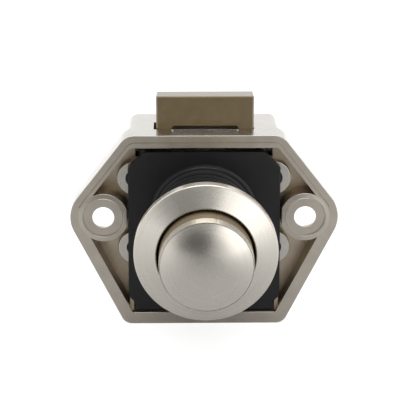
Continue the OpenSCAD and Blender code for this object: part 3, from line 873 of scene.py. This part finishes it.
class Winding:
    """Geometry Nodes trees for what runs round an axis: a thread and a coil spring."""

    thread_steps: int = 96
    coil_steps: int = 48
    wire_steps: int = 12
    run_out: float = 0.35
    thinnest: float = 0.05

    def __init__(self) -> None:
        """Builds both trees once."""
        self.thread = self._thread()
        self.coil = self._coil()

    @staticmethod
    def _tree(name: str, values: Sequence[str],
              others: dict[str, str]) -> tuple[Wiring, bpy.types.Node]:
        """Starts a tree with a geometry output and a material input.

        Args:
            name: The tree's name.
            values: The names of its inputs that are single values.
            others: Its other inputs' names with their socket types.

        Returns:
            The tree's wiring and its input node.
        """
        tree = bpy.data.node_groups.new(name, "GeometryNodeTree")
        tree.interface.new_socket("Base", in_out="INPUT", socket_type="NodeSocketGeometry")
        kinds = dict.fromkeys(values, "NodeSocketFloat") | others
        for label, kind in (kinds | {"Material": "NodeSocketMaterial"}).items():
            tree.interface.new_socket(label, in_out="INPUT", socket_type=kind)
        tree.interface.new_socket("Result", in_out="OUTPUT", socket_type="NodeSocketGeometry")
        wiring = Wiring(tree)
        return wiring, wiring.add("NodeGroupInput")

    @staticmethod
    def _close(w: Wiring, given: bpy.types.Node, mesh: bpy.types.NodeSocket) -> None:
        """Joins the base, realizes, sets the material and ends the tree.

        Args:
            w: The tree's wiring.
            given: Its input node.
            mesh: The mesh's socket.
        """
        joined = w.add("GeometryNodeJoinGeometry")
        w.feed(joined.inputs[0], mesh)
        w.feed(joined.inputs[0], given.outputs["Base"])
        real = w.add("GeometryNodeRealizeInstances", {0: joined.outputs[0]})
        painted = w.add("GeometryNodeSetMaterial", {
            "Geometry": real.outputs[0], "Material": given.outputs["Material"]})
        w.add("NodeGroupOutput", {0: painted.outputs[0]})

    def _thread(self) -> bpy.types.NodeTree:
        """Makes a raised thread along -Y that runs out at both ends.

        Returns:
            The tree.
        """
        w, given = self._tree("raised_thread", (
            "Start", "Turns", "Pitch", "Root", "Depth", "Foot", "Crest"), {})
        give = given.outputs
        length = w.math("MULTIPLY", give["Turns"], give["Pitch"])
        helix = w.add("GeometryNodeCurveSpiral", {
            "Resolution": self.thread_steps, "Rotations": give["Turns"],
            "Start Radius": give["Root"], "End Radius": give["Root"], "Height": length})
        upright = w.add("GeometryNodeSetCurveNormal", {"Curve": helix.outputs[0]},
                        mode="Z_UP")
        run = w.math("MULTIPLY", w.add("GeometryNodeSplineParameter").outputs[0],
                     give["Turns"])
        left = w.math("SUBTRACT", give["Turns"], run)
        size = w.span(w.math("MINIMUM", run, left), 0.0, self.run_out, self.thinnest, 1.0)
        outline = w.add("GeometryNodeCurvePrimitiveQuadrilateral", {
            "Height": give["Depth"], "Bottom Width": give["Foot"],
            "Top Width": give["Crest"], "Offset": 0.0}, mode="TRAPEZOID")
        turned = w.add("GeometryNodeTransform", {
            "Geometry": outline.outputs[0], "Rotation": (0, 0, math.radians(90))})
        ridge = w.add("GeometryNodeCurveToMesh", {
            "Curve": upright.outputs[0], "Profile Curve": turned.outputs[0],
            "Scale": size, "Fill Caps": True})
        start = w.add("ShaderNodeCombineXYZ", {1: give["Start"]})
        laid = w.add("GeometryNodeTransform", {
            "Geometry": ridge.outputs[0], "Translation": start.outputs[0],
            "Rotation": (math.radians(90), 0, 0)})
        self._close(w, given, laid.outputs[0])
        return w.tree

    def _coil(self) -> bpy.types.NodeTree:
        """Makes a coil spring about Z with curls that lie close at both ends.

        Returns:
            The tree.
        """
        w, given = self._tree("coil_spring", (
            "Radius", "Wire", "Curls", "Length", "Closed Step"),
            {"Place": "NodeSocketVector", "Turn": "NodeSocketRotation"})
        give = given.outputs
        helix = w.add("GeometryNodeCurveSpiral", {
            "Resolution": self.coil_steps, "Rotations": give["Curls"],
            "Start Radius": give["Radius"], "End Radius": give["Radius"],
            "Height": give["Length"]})
        run = w.math("MULTIPLY", w.add("GeometryNodeSplineParameter").outputs[0],
                     give["Curls"])
        step = w.math("ADD", give["Wire"], give["Closed Step"])
        inner = w.math("SUBTRACT", give["Curls"], 2.0)
        free = w.math("SUBTRACT", w.math("SUBTRACT", give["Length"], give["Wire"]),
                      w.math("MULTIPLY", step, 2.0))
        first = w.math("MINIMUM", run, 1.0)
        last = w.math("MAXIMUM", w.math("SUBTRACT", run, w.math("ADD", inner, 1.0)), 0.0)
        middle = w.math("SUBTRACT", w.math("SUBTRACT", run, first), last)
        height = w.math("MULTIPLY_ADD", w.math("ADD", first, last), step,
                        w.math("MULTIPLY", middle, w.math("DIVIDE", free, inner)))
        height = w.math("MULTIPLY_ADD", give["Wire"], 0.5, height)
        here = w.parts(w.add("GeometryNodeInputPosition").outputs[0])
        there = w.add("ShaderNodeCombineXYZ", {0: here[0], 1: here[1], 2: height})
        shaped = w.add("GeometryNodeSetPosition", {"Geometry": helix.outputs[0],
                                                   "Position": there.outputs[0]})
        upright = w.add("GeometryNodeSetCurveNormal", {"Curve": shaped.outputs[0]},
                        mode="Z_UP")
        wire = w.add("GeometryNodeCurvePrimitiveCircle", {
            "Resolution": self.wire_steps, "Radius": w.math("MULTIPLY", give["Wire"], 0.5)})
        tube = w.add("GeometryNodeCurveToMesh", {
            "Curve": upright.outputs[0], "Profile Curve": wire.outputs[0],
            "Fill Caps": True})
        laid = w.add("GeometryNodeTransform", {
            "Geometry": tube.outputs[0], "Translation": give["Place"],
            "Rotation": give["Turn"]})
        self._close(w, given, laid.outputs[0])
        return w.tree

    @staticmethod
    def run(name: str, tree: bpy.types.NodeTree, values: dict[str, Any],
            base: bpy.types.Mesh | None = None) -> bpy.types.Mesh:
        """Runs a tree on a mesh.

        Args:
            name: The name of the mesh that comes out.
            tree: The tree.
            values: Its inputs by name, in metres.
            base: The mesh that the result is joined to.

        Returns:
            The plain mesh.
        """
        holder = put(name, base or bpy.data.meshes.new(name + "_base"))
        modifier = holder.modifiers.new(name, "NODES")
        modifier.node_group = tree
        sockets = {item.name: item.identifier for item in tree.interface.items_tree
                   if item.in_out == "INPUT"}
        for label, value in values.items():
            modifier[sockets[label]] = value
        plain = baked(holder)
        bpy.data.objects.remove(holder)
        return plain


def arc(centre: tuple[float, float], radius: float, start: float, end: float,
        steps: int = 8) -> Profile:
    """Gives points of an arc in a profile of radius and Y.

    Args:
        centre: Its centre.
        radius: Its radius.
        start: Its first angle in degrees, where -90 faces the user.
        end: Its last angle.
        steps: How many steps it has.

    Returns:
        The points.
    """
    angles = [math.radians(start + (end - start) * i / steps) for i in range(steps + 1)]
    return [(centre[0] + radius * math.cos(a), centre[1] + radius * math.sin(a))
            for a in angles]


def corners(node: str) -> tuple[Vector, Vector]:
    """Gives a node's lowest and highest corner in millimetres."""
    low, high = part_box(node)
    return low / MM, high / MM


@dataclass
class Assembly:
    """A sub-assembly of the lock, with the workshop and the trees that it is made with."""

    shop: Workshop
    winding: Winding

    def build(self) -> None:
        """Makes the sub-assembly's pieces."""
        raise NotImplementedError


@dataclass
class Housing(Assembly):
    """The plated casting: flange, pocket, posts, bosses and the box behind."""

    rim_round: float = 0.14
    inner_round: float = 0.08
    back_round: float = 1.0
    flange_round: float = 0.35
    post_round: float = 0.2
    pocket_depth: float = 5.3
    flange_depth: float = 6.8
    flange_top: float = 17.9
    groove_depth: float = 0.2
    slack: float = 0.1
    post_y: float = 3.0
    # Shares of the thin-plate tint and painted shade for the post tops, the rim and the pocket
    # floor.
    post_share: float = 0.1
    rim_share: float = 0.45
    floor_share: float = 0.85
    # The box round the bolt's slot, whose walls take painted shade.
    slot_z: float = 15.0
    slot_x: float = 11.5
    slot_y: float = 11.4
    rim_width: float = 1.0
    # Painted shade grows with depth in the pocket over this span.
    fade_from: float = 0.3
    fade_over: float = 1.5

    @staticmethod
    def outline(shape: bmesh.types.BMesh, y: float) -> Sides:
        """Finds the straight sides of the mesh's outline in one plane across Y.

        Args:
            shape: The mesh.
            y: The plane's place.

        Returns:
            The outward normal and distance of each side of the convex outline.
        """
        flat = [v.co.xz for v in shape.verts if abs(v.co.y - y) < NEAR]
        hull = bmesh.new()
        verts = [hull.verts.new((p.x, p.y, 0)) for p in flat]
        made = bmesh.ops.convex_hull(hull, input=verts)["geom"]
        edges = [e for e in made if isinstance(e, bmesh.types.BMEdge)
                 and any(abs(f.normal.z) > STEEP for f in e.link_faces)]
        middle = sum(flat, Vector((0, 0))) / len(flat)
        sides = []
        for edge in edges:
            a, b = (v.co.to_2d() for v in edge.verts)
            along = (b - a).normalized()
            normal = Vector((along.y, -along.x))
            if normal.dot(a - middle) < 0:
                normal = -normal
            distance = normal.dot(a)
            if all(normal.dot(p) < distance + CLOSE for p in flat):
                sides.append((normal, distance))
        hull.free()
        return sides

    @staticmethod
    def depth(sides: Sides, point: Vector) -> float:
        """Gives how far inside an outline a point lies, in millimetres."""
        return min(distance - normal.dot(point.xz) for normal, distance in sides)

    def build(self) -> None:
        """Makes the housing from its node, with rounded edges."""
        shop = self.shop
        shape = shop.copy("housing")
        low, high = corners("housing")
        rim = self.outline(shape, low.y)
        back = self.outline(shape, high.y)

        def on(edge: bmesh.types.BMEdge, sides: Sides) -> bool:
            """Tells whether an edge lies on an outline."""
            return all(abs(self.depth(sides, v.co)) < NEAR for v in edge.verts)

        def in_groove(edge: bmesh.types.BMEdge) -> bool:
            """Tells whether an edge borders the fine groove.

            Args:
                edge: The edge.

            Returns:
                Whether it does.
            """
            return any(abs(f.calc_center_median().y - self.groove_depth) < NEAR
                       or (abs(f.normal.y) < STEEP and max(v.co.y for v in f.verts)
                           < self.groove_depth + self.slack)
                       for f in edge.link_faces)

        shop.round(shape, lambda e: lies(e, 1, high.y) and on(e, back), self.back_round, 4)
        shop.round(shape, lambda e: lies(e, 1, self.flange_depth) and on(e, rim)
                   and all(v.co.z < self.flange_top for v in e.verts), self.flange_round)
        shop.round(shape, lambda e: lies(e, 1, low.y) and not on(e, rim)
                   and not in_groove(e), self.inner_round)
        shop.round(shape, lambda e: lies(e, 1, low.y) and on(e, rim), self.rim_round, 4)
        shop.round(shape, lambda e: lies(e, 1, self.post_y), self.post_round)
        shop.refill(shape, high.y)
        self.mark_tint_and_shade(shape, rim)
        shop.piece("housing_casting", shape, Slot.CASTING, Body.HOUSING, ["housing"])

    def mark_tint_and_shade(self, shape: bmesh.types.BMesh, sides: Sides) -> None:
        """Marks the pocket's faces for the yellower tint of thinner plating and for painted
        shade.

        Args:
            shape: The mesh.
            sides: The flange's outline.
        """
        for face in shape.faces:
            middle = face.calc_center_median()
            share = 0.0
            # Painted shade in full in the groove, in part on the rim; in the pocket it grows
            # with depth.
            if abs(middle.y - self.groove_depth) < NEAR:
                share = 1.0
            elif middle.y < self.groove_depth + self.slack:
                share = self.rim_share
            elif (middle.y < self.pocket_depth + self.slack
                  and self.depth(sides, middle) > self.rim_width):
                share = min(1.0, (middle.y - self.fade_from) / self.fade_over)
                if abs(middle.y - self.post_y) < NEAR:
                    share = self.post_share
                elif abs(middle.y - self.pocket_depth) < NEAR:
                    share = self.floor_share
            # Painted shade on the walls of the bolt's slot, seen through its window.
            elif (abs(face.normal.z) < STEEP and middle.z > self.slot_z
                  and abs(middle.x) < self.slot_x and middle.y < self.slot_y):
                share = 1.0
            self.shop.mark(shape, face, Mark.INSIDE, share)


@dataclass
class Carrier(Assembly):
    """The black plate in the pocket and the threaded collar in front of it."""

    edge_round: float = 0.2
    edge_clear: float = 1.5
    fillet_reach: float = 2.0
    cut_y: float = -0.6
    lap: float = 0.05
    thread_first: float = -0.9
    pitch: float = 2.25
    depth: float = 0.6
    crest_share: float = 0.3
    flank: float = 30.0
    run_out: float = 0.45
    bore: float = 9.95
    bore_bevel: float = 0.15
    bevel: float = 0.3
    sunk: float = 0.15
    flare: float = 0.35
    flare_side: float = 1.0
    steps: int = 192

    def build(self) -> None:
        """Makes the plate from its node and the collar with a running thread."""
        low, high = corners("carrier")
        shape = self.shop.copy("carrier")
        outer = self.collar_radius(shape)
        plate_y = min(v.co.y for v in shape.verts
                      if v.co.xz.length > outer + self.fillet_reach)
        cut = bmesh.ops.bisect_plane(
            shape, geom=list(shape.verts) + list(shape.edges) + list(shape.faces),
            plane_co=(0, self.cut_y, 0), plane_no=(0, 1, 0), clear_inner=True)
        rim = [e for e in cut["geom_cut"] if isinstance(e, bmesh.types.BMEdge)]
        bmesh.ops.bridge_loops(shape, edges=rim)
        self.shop.round(shape, lambda e: lies(e, 1, plate_y) and all(
            v.co.xz.length > outer + self.edge_clear for v in e.verts), self.edge_round)
        bmesh.ops.triangulate(shape, faces=shape.faces[:])
        for vert in shape.verts:
            if abs(vert.co.x) > high.x - self.flare_side and vert.co.z < 0:
                vert.co.x += math.copysign(self.flare * vert.co.z / low.z, vert.co.x)
        self.shop.piece("carrier_plate", shape, Slot.BLACK, Body.HOUSING, ["carrier"])
        self.build_collar(outer, low.y)

    @staticmethod
    def collar_radius(shape: bmesh.types.BMesh) -> float:
        """Gives the radius over the collar's thread."""
        front = min(v.co.y for v in shape.verts)
        return max(v.co.xz.length for v in shape.verts if v.co.y < front / 2)

    def build_collar(self, outer: float, end: float) -> None:
        """Makes the collar.

        Args:
            outer: The radius over its thread.
            end: The Y of its free end.
        """
        root = outer - self.depth
        start = self.cut_y + self.lap
        tube = self.shop.turned([
            (self.bore, start), (root, start), (root, end + self.bevel),
            (root - self.bevel, end), (self.bore + self.bore_bevel, end),
            (self.bore, end + self.bore_bevel)], self.steps)
        bmesh.ops.scale(tube, vec=(MM,) * 3, verts=tube.verts)
        turns = (self.thread_first - end - self.bevel) / self.pitch - self.run_out
        slant = self.depth * math.tan(math.radians(self.flank))
        crest = self.pitch * self.crest_share
        whole = self.depth + self.sunk
        mesh = self.winding.run("threaded_collar", self.winding.thread, {
            "Start": (self.thread_first - slant - crest / 2) * MM, "Turns": turns,
            "Pitch": self.pitch * MM, "Root": (root - self.sunk + whole / 2) * MM,
            "Depth": whole * MM, "Foot": (crest + 2 * slant) * MM,
            "Crest": crest * MM, "Material": self.shop.materials[Slot.BLACK]},
            meshed("collar_tube", tube))
        self.shop.piece("threaded_collar", self.shop.opened(mesh), Slot.BLACK, Body.HOUSING)


@dataclass
class Rosette(Assembly):
    """The ring nut with its conical face."""

    slope: float = 20.0
    rim_round: float = 0.4
    nose_round: float = 0.25
    opening: float = 10.3
    bevel: float = 0.3
    back: float = -20.3
    sleeve: float = 12.4
    lip: float = 1.2
    bore: float = 11.32
    tooth: float = 10.72
    teeth: Sequence[float] = (-18.0, -15.75)
    tooth_half: float = 0.62
    tooth_foot: float = 0.95

    def profile(self, radius: float, nose: float, end: float) -> Profile:
        """Draws the ring's section.

        Args:
            radius: Its outer radius.
            nose: The Y of its nose.
            end: The Y of its sleeve's end.

        Returns:
            The closed section.
        """
        tilt = math.radians(self.slope)
        inner = (self.opening + self.nose_round, nose + self.nose_round)
        rim = radius - self.rim_round
        extra = self.rim_round - self.nose_round
        rise = math.tan(tilt) * (rim - inner[0] + extra * math.sin(tilt))
        rim_y = inner[1] + rise + extra * math.cos(tilt)
        threads: Profile = []
        for y in sorted(self.teeth):
            threads += [(self.bore, y - self.tooth_foot), (self.tooth, y - self.tooth_half),
                        (self.tooth, y + self.tooth_half), (self.bore, y + self.tooth_foot)]
        return (
            [(self.sleeve, end - self.bevel), (self.sleeve, self.back),
             (radius - self.bevel, self.back), (radius, self.back - self.bevel)]
            + arc((rim, rim_y), self.rim_round, 0, self.slope - 90)
            + arc(inner, self.nose_round, self.slope - 90, -180)
            + [(self.opening, nose + self.lip), (self.bore, nose + self.lip)]
            + threads + [(self.bore, end), (self.sleeve - self.bevel, end)])

    def build(self) -> None:
        """Makes the ring."""
        low, high = corners("rosette")
        shape = self.shop.turned(self.profile(high.x, low.y, high.y))
        self.shop.piece("rosette_ring", shape, Slot.SATIN, Body.ROSETTE, ["rosette"])


@dataclass
class Button(Assembly):
    """The push button: a rolled sleeve and the domed face set into it."""

    wall: float = 0.85
    seat_wall: float = 0.2
    seat_depth: float = 1.65
    taper_len: float = 2.4
    taper_in: float = 0.1
    tip_round: float = 0.03
    bevel: float = 0.3
    line: float = 0.08
    line_depth: float = 0.4
    dome_steps: int = 40
    seam_x: float = 2.2
    seam_depth: float = 0.09
    rim_y: float = -30.3

    def build(self) -> None:
        """Makes the sleeve and the face, and finishes the pieces behind them."""
        self.build_sleeve()
        self.build_face()
        self.shop.dress("button_core", Slot.BLACK)
        for node in ("adjusting_stud", "lock_nut", "stud_pin"):
            self.shop.dress(node, Slot.STEEL)
        self.shop.dress("plunger", Slot.ZINC)

    def build_sleeve(self) -> None:
        """Makes the rolled sleeve, with a tapered front and painted shade on its side."""
        low, high = corners("button_sleeve")
        radius = high.x
        tip = radius - self.taper_in
        sleeve = self.shop.turned(
            [(radius - self.wall, high.y), (radius - self.bevel, high.y),
             (radius, high.y - self.bevel), (radius, low.y + self.taper_len)]
            + arc((tip - self.tip_round, low.y + self.tip_round), self.tip_round, 0, -90, 4)
            + [(radius - self.seat_wall, low.y),
               (radius - self.seat_wall, low.y + self.seat_depth),
               (radius - self.wall, low.y + self.seat_depth)])
        self.cut_seam(sleeve, radius)
        # Painted shade: behind the taper the side takes a brown, duller colour, as in the ring
        # nut's shade.
        for face in sleeve.faces:
            if face.calc_center_median().y > low.y + self.taper_len:
                self.shop.mark(sleeve, face, Mark.INSIDE)
        self.shop.piece("button_tube", sleeve, Slot.SATIN, Body.BUTTON, ["button_sleeve"])

    def cut_seam(self, shape: bmesh.types.BMesh, radius: float) -> None:
        """Sinks one row of the sleeve's outer points for the seam of the rolled tube.

        Args:
            shape: The sleeve.
            radius: Its outer radius.
        """
        step = math.tau / FINE_STEPS
        turn = round(math.acos(self.seam_x / radius) / step) * step
        for vert in shape.verts:
            reach = vert.co.xz.length
            angle = math.atan2(vert.co.z, vert.co.x)
            if (abs(angle - turn) < step / 4 and reach > radius - self.bevel / 2
                    and vert.co.y > self.rim_y + self.bevel):
                vert.co.xz *= (reach - self.seam_depth) / reach

    def build_face(self) -> None:
        """Makes the domed face."""
        low, high = corners("button_face")
        radius = high.x
        edge = radius - self.line
        rise = self.rim_y - low.y
        ball = (edge * edge + rise * rise) / (2 * rise)
        span = math.asin(edge / ball)
        dome = [(ball * math.sin(span * i / self.dome_steps),
                 low.y + ball * (1 - math.cos(span * i / self.dome_steps)))
                for i in range(1, self.dome_steps + 1)]
        shape = self.shop.turned(
            [(0, low.y)] + dome
            + [(edge, self.rim_y + self.line_depth), (radius, self.rim_y + self.line_depth),
               (radius, high.y), (0, high.y)])
        self.shop.piece("button_dome", shape, Slot.SATIN, Body.BUTTON, ["button_face"])


@dataclass
class Bolt(Assembly):
    """The tan bolt with its window."""

    nose_round: float = 0.35
    edge_round: float = 0.15
    lean: float = 0.25

    def build(self) -> None:
        """Makes the bolt from its node, with rounded edges, leaning to one side."""
        shop = self.shop
        _, high = corners("latch_bolt")
        shape = shop.copy("latch_bolt")
        shop.round(shape, lambda e: lies(e, 2, high.z), self.nose_round, 4)
        shop.round(shape, lambda e: all(abs(abs(v.co.x) - high.x) < NEAR for v in e.verts),
                   self.edge_round, 2)
        bmesh.ops.translate(shape, vec=(self.lean, 0, 0), verts=shape.verts)
        shop.piece("bolt", shape, Slot.TAN, Body.BOLT, ["latch_bolt"])


@dataclass
class Springs(Assembly):
    """The return spring and the two springs under the bolt."""

    closed_step: float = 0.45
    return_wire: float = 0.9
    return_curls: int = 9
    bolt_wire: float = 0.4
    bolt_curls: int = 9

    def build(self) -> None:
        """Makes each spring in its node's place."""
        low, high = corners("return_spring")
        self.wind("return_spring", self.return_wire, self.return_curls,
                  high.y - low.y, Vector((0, high.y, 0)), math.radians(90))
        for side in ("left", "right"):
            node = "bolt_spring_" + side
            low, high = corners(node)
            middle = (low + high) / 2
            self.wind(node, self.bolt_wire, self.bolt_curls,
                      high.z - low.z, Vector((middle.x, middle.y, low.z)), 0.0)

    def wind(self, node: str, wire: float, curls: int, length: float, place: Vector,
             turn: float) -> None:
        """Winds one spring.

        Args:
            node: The node that it stands for.
            wire: Its wire's diameter.
            curls: How many curls it has.
            length: Its length.
            place: The middle of its first end.
            turn: How far it is turned about X from standing along Z.
        """
        low, high = corners(node)
        radius = (high.x - low.x - wire) / 2
        mesh = self.winding.run(node + "_coil", self.winding.coil, {
            "Radius": radius * MM, "Wire": wire * MM, "Curls": float(curls),
            "Length": length * MM, "Closed Step": self.closed_step * MM,
            "Place": place * MM, "Turn": (turn, 0.0, 0.0),
            "Material": self.shop.materials[Slot.SPRING]})
        self.shop.piece(node + "_coil", self.shop.opened(mesh), Slot.SPRING, Body.HOUSING,
                        [node])


@dataclass
class Fasteners(Assembly):
    """Screws, pins and the follower's spring parts, which keep their nodes' shape."""

    steel: Sequence[str] = ("clip_screw", "spring_pin_left", "spring_pin_right")
    spring: Sequence[str] = ("track_follower", "follower_clip")
    head_round: float = 0.25

    def build(self) -> None:
        """Finishes each of them."""
        for node in self.steel:
            self.shop.dress(node, Slot.STEEL)
        for node in self.spring:
            self.shop.dress(node, Slot.SPRING)
        for place in ("upper_left", "upper_right", "lower_left", "lower_right"):
            self.round_head("carrier_screw_" + place)

    def round_head(self, node: str) -> None:
        """Rounds one screw's head and makes it a piece.

        Args:
            node: The screw's node.
        """
        shape = self.shop.copy(node)
        low, high = corners(node)
        middle = (low + high) / 2
        reach = (high.x - low.x) / 2 - NEAR
        self.shop.round(shape, lambda e: lies(e, 1, high.y) and all(
            (v.co - middle).xz.length > reach for v in e.verts), self.head_round)
        self.shop.piece(node + "_steel", shape, Slot.STEEL, Body.HOUSING, [node])


@dataclass
class Camera:
    """The photograph's view of the lock."""

    place: tuple[float, float, float] = (-4.75, -279.43, 99.42)
    pitch: float = 0.3286
    yaw: float = 0.0136
    lens: float = 119.256
    sensor: float = 36.0
    nearest: float = 10.0

    def build(self) -> None:
        """Makes the camera and sets it as the scene's."""
        data = bpy.data.cameras.new("photo_camera")
        data.lens = self.lens
        data.sensor_width = self.sensor
        data.clip_start = self.nearest * MM
        made = put("photo_camera", data)
        made.location = Vector(self.place) * MM
        made.rotation_euler = (math.pi / 2 - self.pitch, 0.0, -self.yaw)
        bpy.context.scene.camera = made


@dataclass
class Lamp:
    """One soft box, placed by the direction that it shines from.

    Its brightness is the one that a mirror shows, where 1 is white.
    """

    name: str
    side: float
    height: float
    distance: float
    width: float
    tall: float
    brightness: float
    roll: float = 0.0

    def build(self) -> None:
        """Hangs the soft box, turned to the lock."""
        data = bpy.data.lights.new(self.name, "AREA")
        data.shape = "RECTANGLE"
        data.size, data.size_y = self.width * MM, self.tall * MM
        data.energy = self.brightness * math.pi * data.size * data.size_y
        made = put(self.name, data)
        toward = direction(self.side, self.height)
        made.location = toward * self.distance * MM
        made.rotation_euler = facing(toward, self.roll).to_euler()
        made.visible_camera = False


def direction(side: float, height: float) -> Vector:
    """Gives a direction from the lock.

    Args:
        side: Degrees to the right, seen from the front.
        height: Degrees above level.

    Returns:
        The unit vector.
    """
    a, e = math.radians(side), math.radians(height)
    return Vector((math.sin(a) * math.cos(e), -math.cos(a) * math.cos(e), math.sin(e)))


def facing(toward: Vector, roll: float) -> Quaternion:
    """Gives the turn that faces the lock from a direction, rolled by some degrees."""
    return toward.to_track_quat("Z", "Y") @ Quaternion((0, 0, 1), math.radians(roll))


@dataclass
class Studio:
    """Floor, surroundings, soft boxes and the dark flag beside the camera."""

    floor_size: float = 3000.0
    floor_tone: float = 0.55
    floor_rough: float = 0.9
    floor_lift: float = 0.8
    mirror_lift: float = 0.06
    # In mirrors only, a painted shadow on the floor in front of the lock that fades to the
    # sides.
    painted_shadow_near: float = 1.12
    painted_shadow_reach: float = 120.0
    painted_shadow_aside: tuple[float, float] = (30.0, 120.0)
    # In mirrors only, painted light on the floor to the right, to the left and behind.
    painted_light_right: float = 0.28
    right_range: tuple[float, float] = (20.0, 100.0)
    painted_light_left: float = 0.15
    left_range: tuple[float, float] = (-60.0, -20.0)
    painted_light_back: float = 0.5
    back_range: tuple[float, float] = (20.0, 120.0)
    front_tone: float = 0.36
    back_tone: float = 1.15
    behind_range: tuple[float, float] = (-0.35, 0.25)
    flag_side: float = -10.0
    flag_height: float = 5.5
    flag_distance: float = 340.0
    flag_half: tuple[float, float] = (104.0, 80.0)
    flag_roll: float = 22.0
    flag_tone: float = 0.03
    flag_steps: int = 48
    lamps: Sequence[Lamp] = field(default_factory=lambda: (
        Lamp("right_box", 30.0, 12.5, 420.0, 205.0, 260.0, 1.18, 32.0),
        Lamp("top_box", 10.0, 75.0, 450.0, 360.0, 260.0, 1.6),
        Lamp("left_box", -42.0, 10.0, 440.0, 190.0, 200.0, 0.52),
    ))

    def build(self) -> None:
        """Sets up the studio."""
        self.build_floor()
        self.build_world()
        self.build_flag()
        for lamp in self.lamps:
            lamp.build()
        bpy.context.scene.view_settings.view_transform = "Standard"

    def build_floor(self) -> None:
        """Lays the floor under the lock. Rays from the camera see it white; mirrors see a
        painted shadow in front and painted light to the sides and behind.
        """
        low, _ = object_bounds()
        half = self.floor_size * MM / 2
        mesh = bpy.data.meshes.new("studio_floor")
        mesh.from_pydata([(x, y, low[2]) for x, y in
                          ((-half, -half), (half, -half), (half, half), (-half, half))],
                         [], [(0, 1, 2, 3)])
        floor = put("studio_floor", mesh)
        material, w, surface = blank_material("pale_floor")
        surface.inputs["Roughness"].default_value = self.floor_rough
        surface.inputs["Specular IOR Level"].default_value = 0.0
        path = w.add("ShaderNodeLightPath").outputs
        mirror = w.math("ADD", path["Is Glossy Ray"], path["Is Transmission Ray"])
        across, along, _ = w.parts(w.place())
        # Painted shadow: in mirrors the floor darkens with distance in front of the lock, less
        # so to the sides.
        aside = w.span(w.math("ABSOLUTE", across), *self.painted_shadow_aside, 0.0, 1.0)
        front = w.math("MAXIMUM", w.math("MULTIPLY", along, -1.0), 0.0)
        reach = w.math("MULTIPLY_ADD", front, 1.0 / self.painted_shadow_reach, 1.0)
        near = w.math("DIVIDE", self.painted_shadow_near, reach)
        share = w.add("ShaderNodeMapRange", {0: aside, 3: near, 4: 1.0}).outputs[0]
        painted_shadow_dim = w.math("MULTIPLY", mirror, w.math("SUBTRACT", 1.0, share))
        tone = w.math("MULTIPLY_ADD", painted_shadow_dim, -self.floor_tone, self.floor_tone)
        tint = w.add("ShaderNodeCombineColor", {0: tone, 1: tone, 2: tone})
        w.feed(surface.inputs["Base Color"], tint.outputs[0])
        # Painted light: in mirrors the floor glows more to the right, to the left and behind.
        glow = w.span(across, *self.right_range, self.mirror_lift,
                      self.mirror_lift + self.painted_light_right)
        glow = w.math("ADD", glow, w.span(across, *self.left_range, self.painted_light_left, 0.0))
        glow = w.math("ADD", glow, w.span(along, *self.back_range, 0.0, self.painted_light_back))
        lift = w.math("MULTIPLY_ADD", mirror, glow,
                      w.math("MULTIPLY", path["Is Camera Ray"], self.floor_lift))
        glow = w.add("ShaderNodeEmission", {"Strength": lift})
        both = w.add("ShaderNodeAddShader", {0: surface.outputs[0], 1: glow.outputs[0]})
        w.feed(material.node_tree.nodes["Material Output"].inputs["Surface"],
               both.outputs[0])
        mesh.materials.append(material)
        floor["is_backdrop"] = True

    def build_world(self) -> None:
        """Makes the surroundings: a bright backdrop behind, a dimmer room in front."""
        world = bpy.data.worlds.new("studio_room")
        world.use_nodes = True
        bpy.context.scene.world = world
        w = Wiring(world.node_tree)
        along = w.parts(w.add("ShaderNodeTexCoord").outputs["Generated"])[1]
        behind = w.span(along, *self.behind_range, 0.0, 1.0)
        tone = w.span(behind, 0.0, 1.0, self.front_tone, self.back_tone)
        path = w.add("ShaderNodeLightPath").outputs
        mirror = w.math("MAXIMUM", path["Is Glossy Ray"], path["Is Transmission Ray"])
        white = w.math("MAXIMUM", path["Is Camera Ray"],
                       w.math("MULTIPLY", mirror, behind))
        strength = w.math("MULTIPLY_ADD", white, w.math("SUBTRACT", 1.0, tone), tone)
        back = world.node_tree.nodes["Background"]
        back.inputs["Color"].default_value = (1.0, 1.0, 1.0, 1.0)
        w.feed(back.inputs["Strength"], strength)

    def build_flag(self) -> None:
        """Hangs the dark flag that stands for the camera and who holds it."""
        toward = direction(self.flag_side, self.flag_height)
        turn = facing(toward, self.flag_roll)
        wide, tall = self.flag_half
        shape = bmesh.new()
        bmesh.ops.create_circle(shape, cap_ends=True, segments=self.flag_steps, radius=MM)
        for vert in shape.verts:
            oval = Vector((vert.co.x * wide, vert.co.y * tall, 0))
            vert.co = turn @ oval + toward * self.flag_distance * MM
        mesh = meshed("dark_flag", shape)
        material, _, surface = blank_material("flag_cloth")
        surface.inputs["Base Color"].default_value = (*(self.flag_tone,) * 3, 1.0)
        surface.inputs["Roughness"].default_value = 1.0
        mesh.materials.append(material)
        flag = put("dark_flag", mesh)
        flag.visible_camera = False
        flag.visible_shadow = False
        flag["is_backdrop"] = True


def main() -> None:
    """Builds the lock's pieces in order, then the studio and the camera."""
    logging.basicConfig(level=logging.INFO, format="%(name)s: %(message)s")
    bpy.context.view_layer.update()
    shop, winding = Workshop(), Winding()
    for kind in (Housing, Carrier, Rosette, Button, Bolt, Springs, Fasteners):
        kind(shop, winding).build()
    Camera().build()
    Studio().build()


if __name__ == "__main__":
    main()
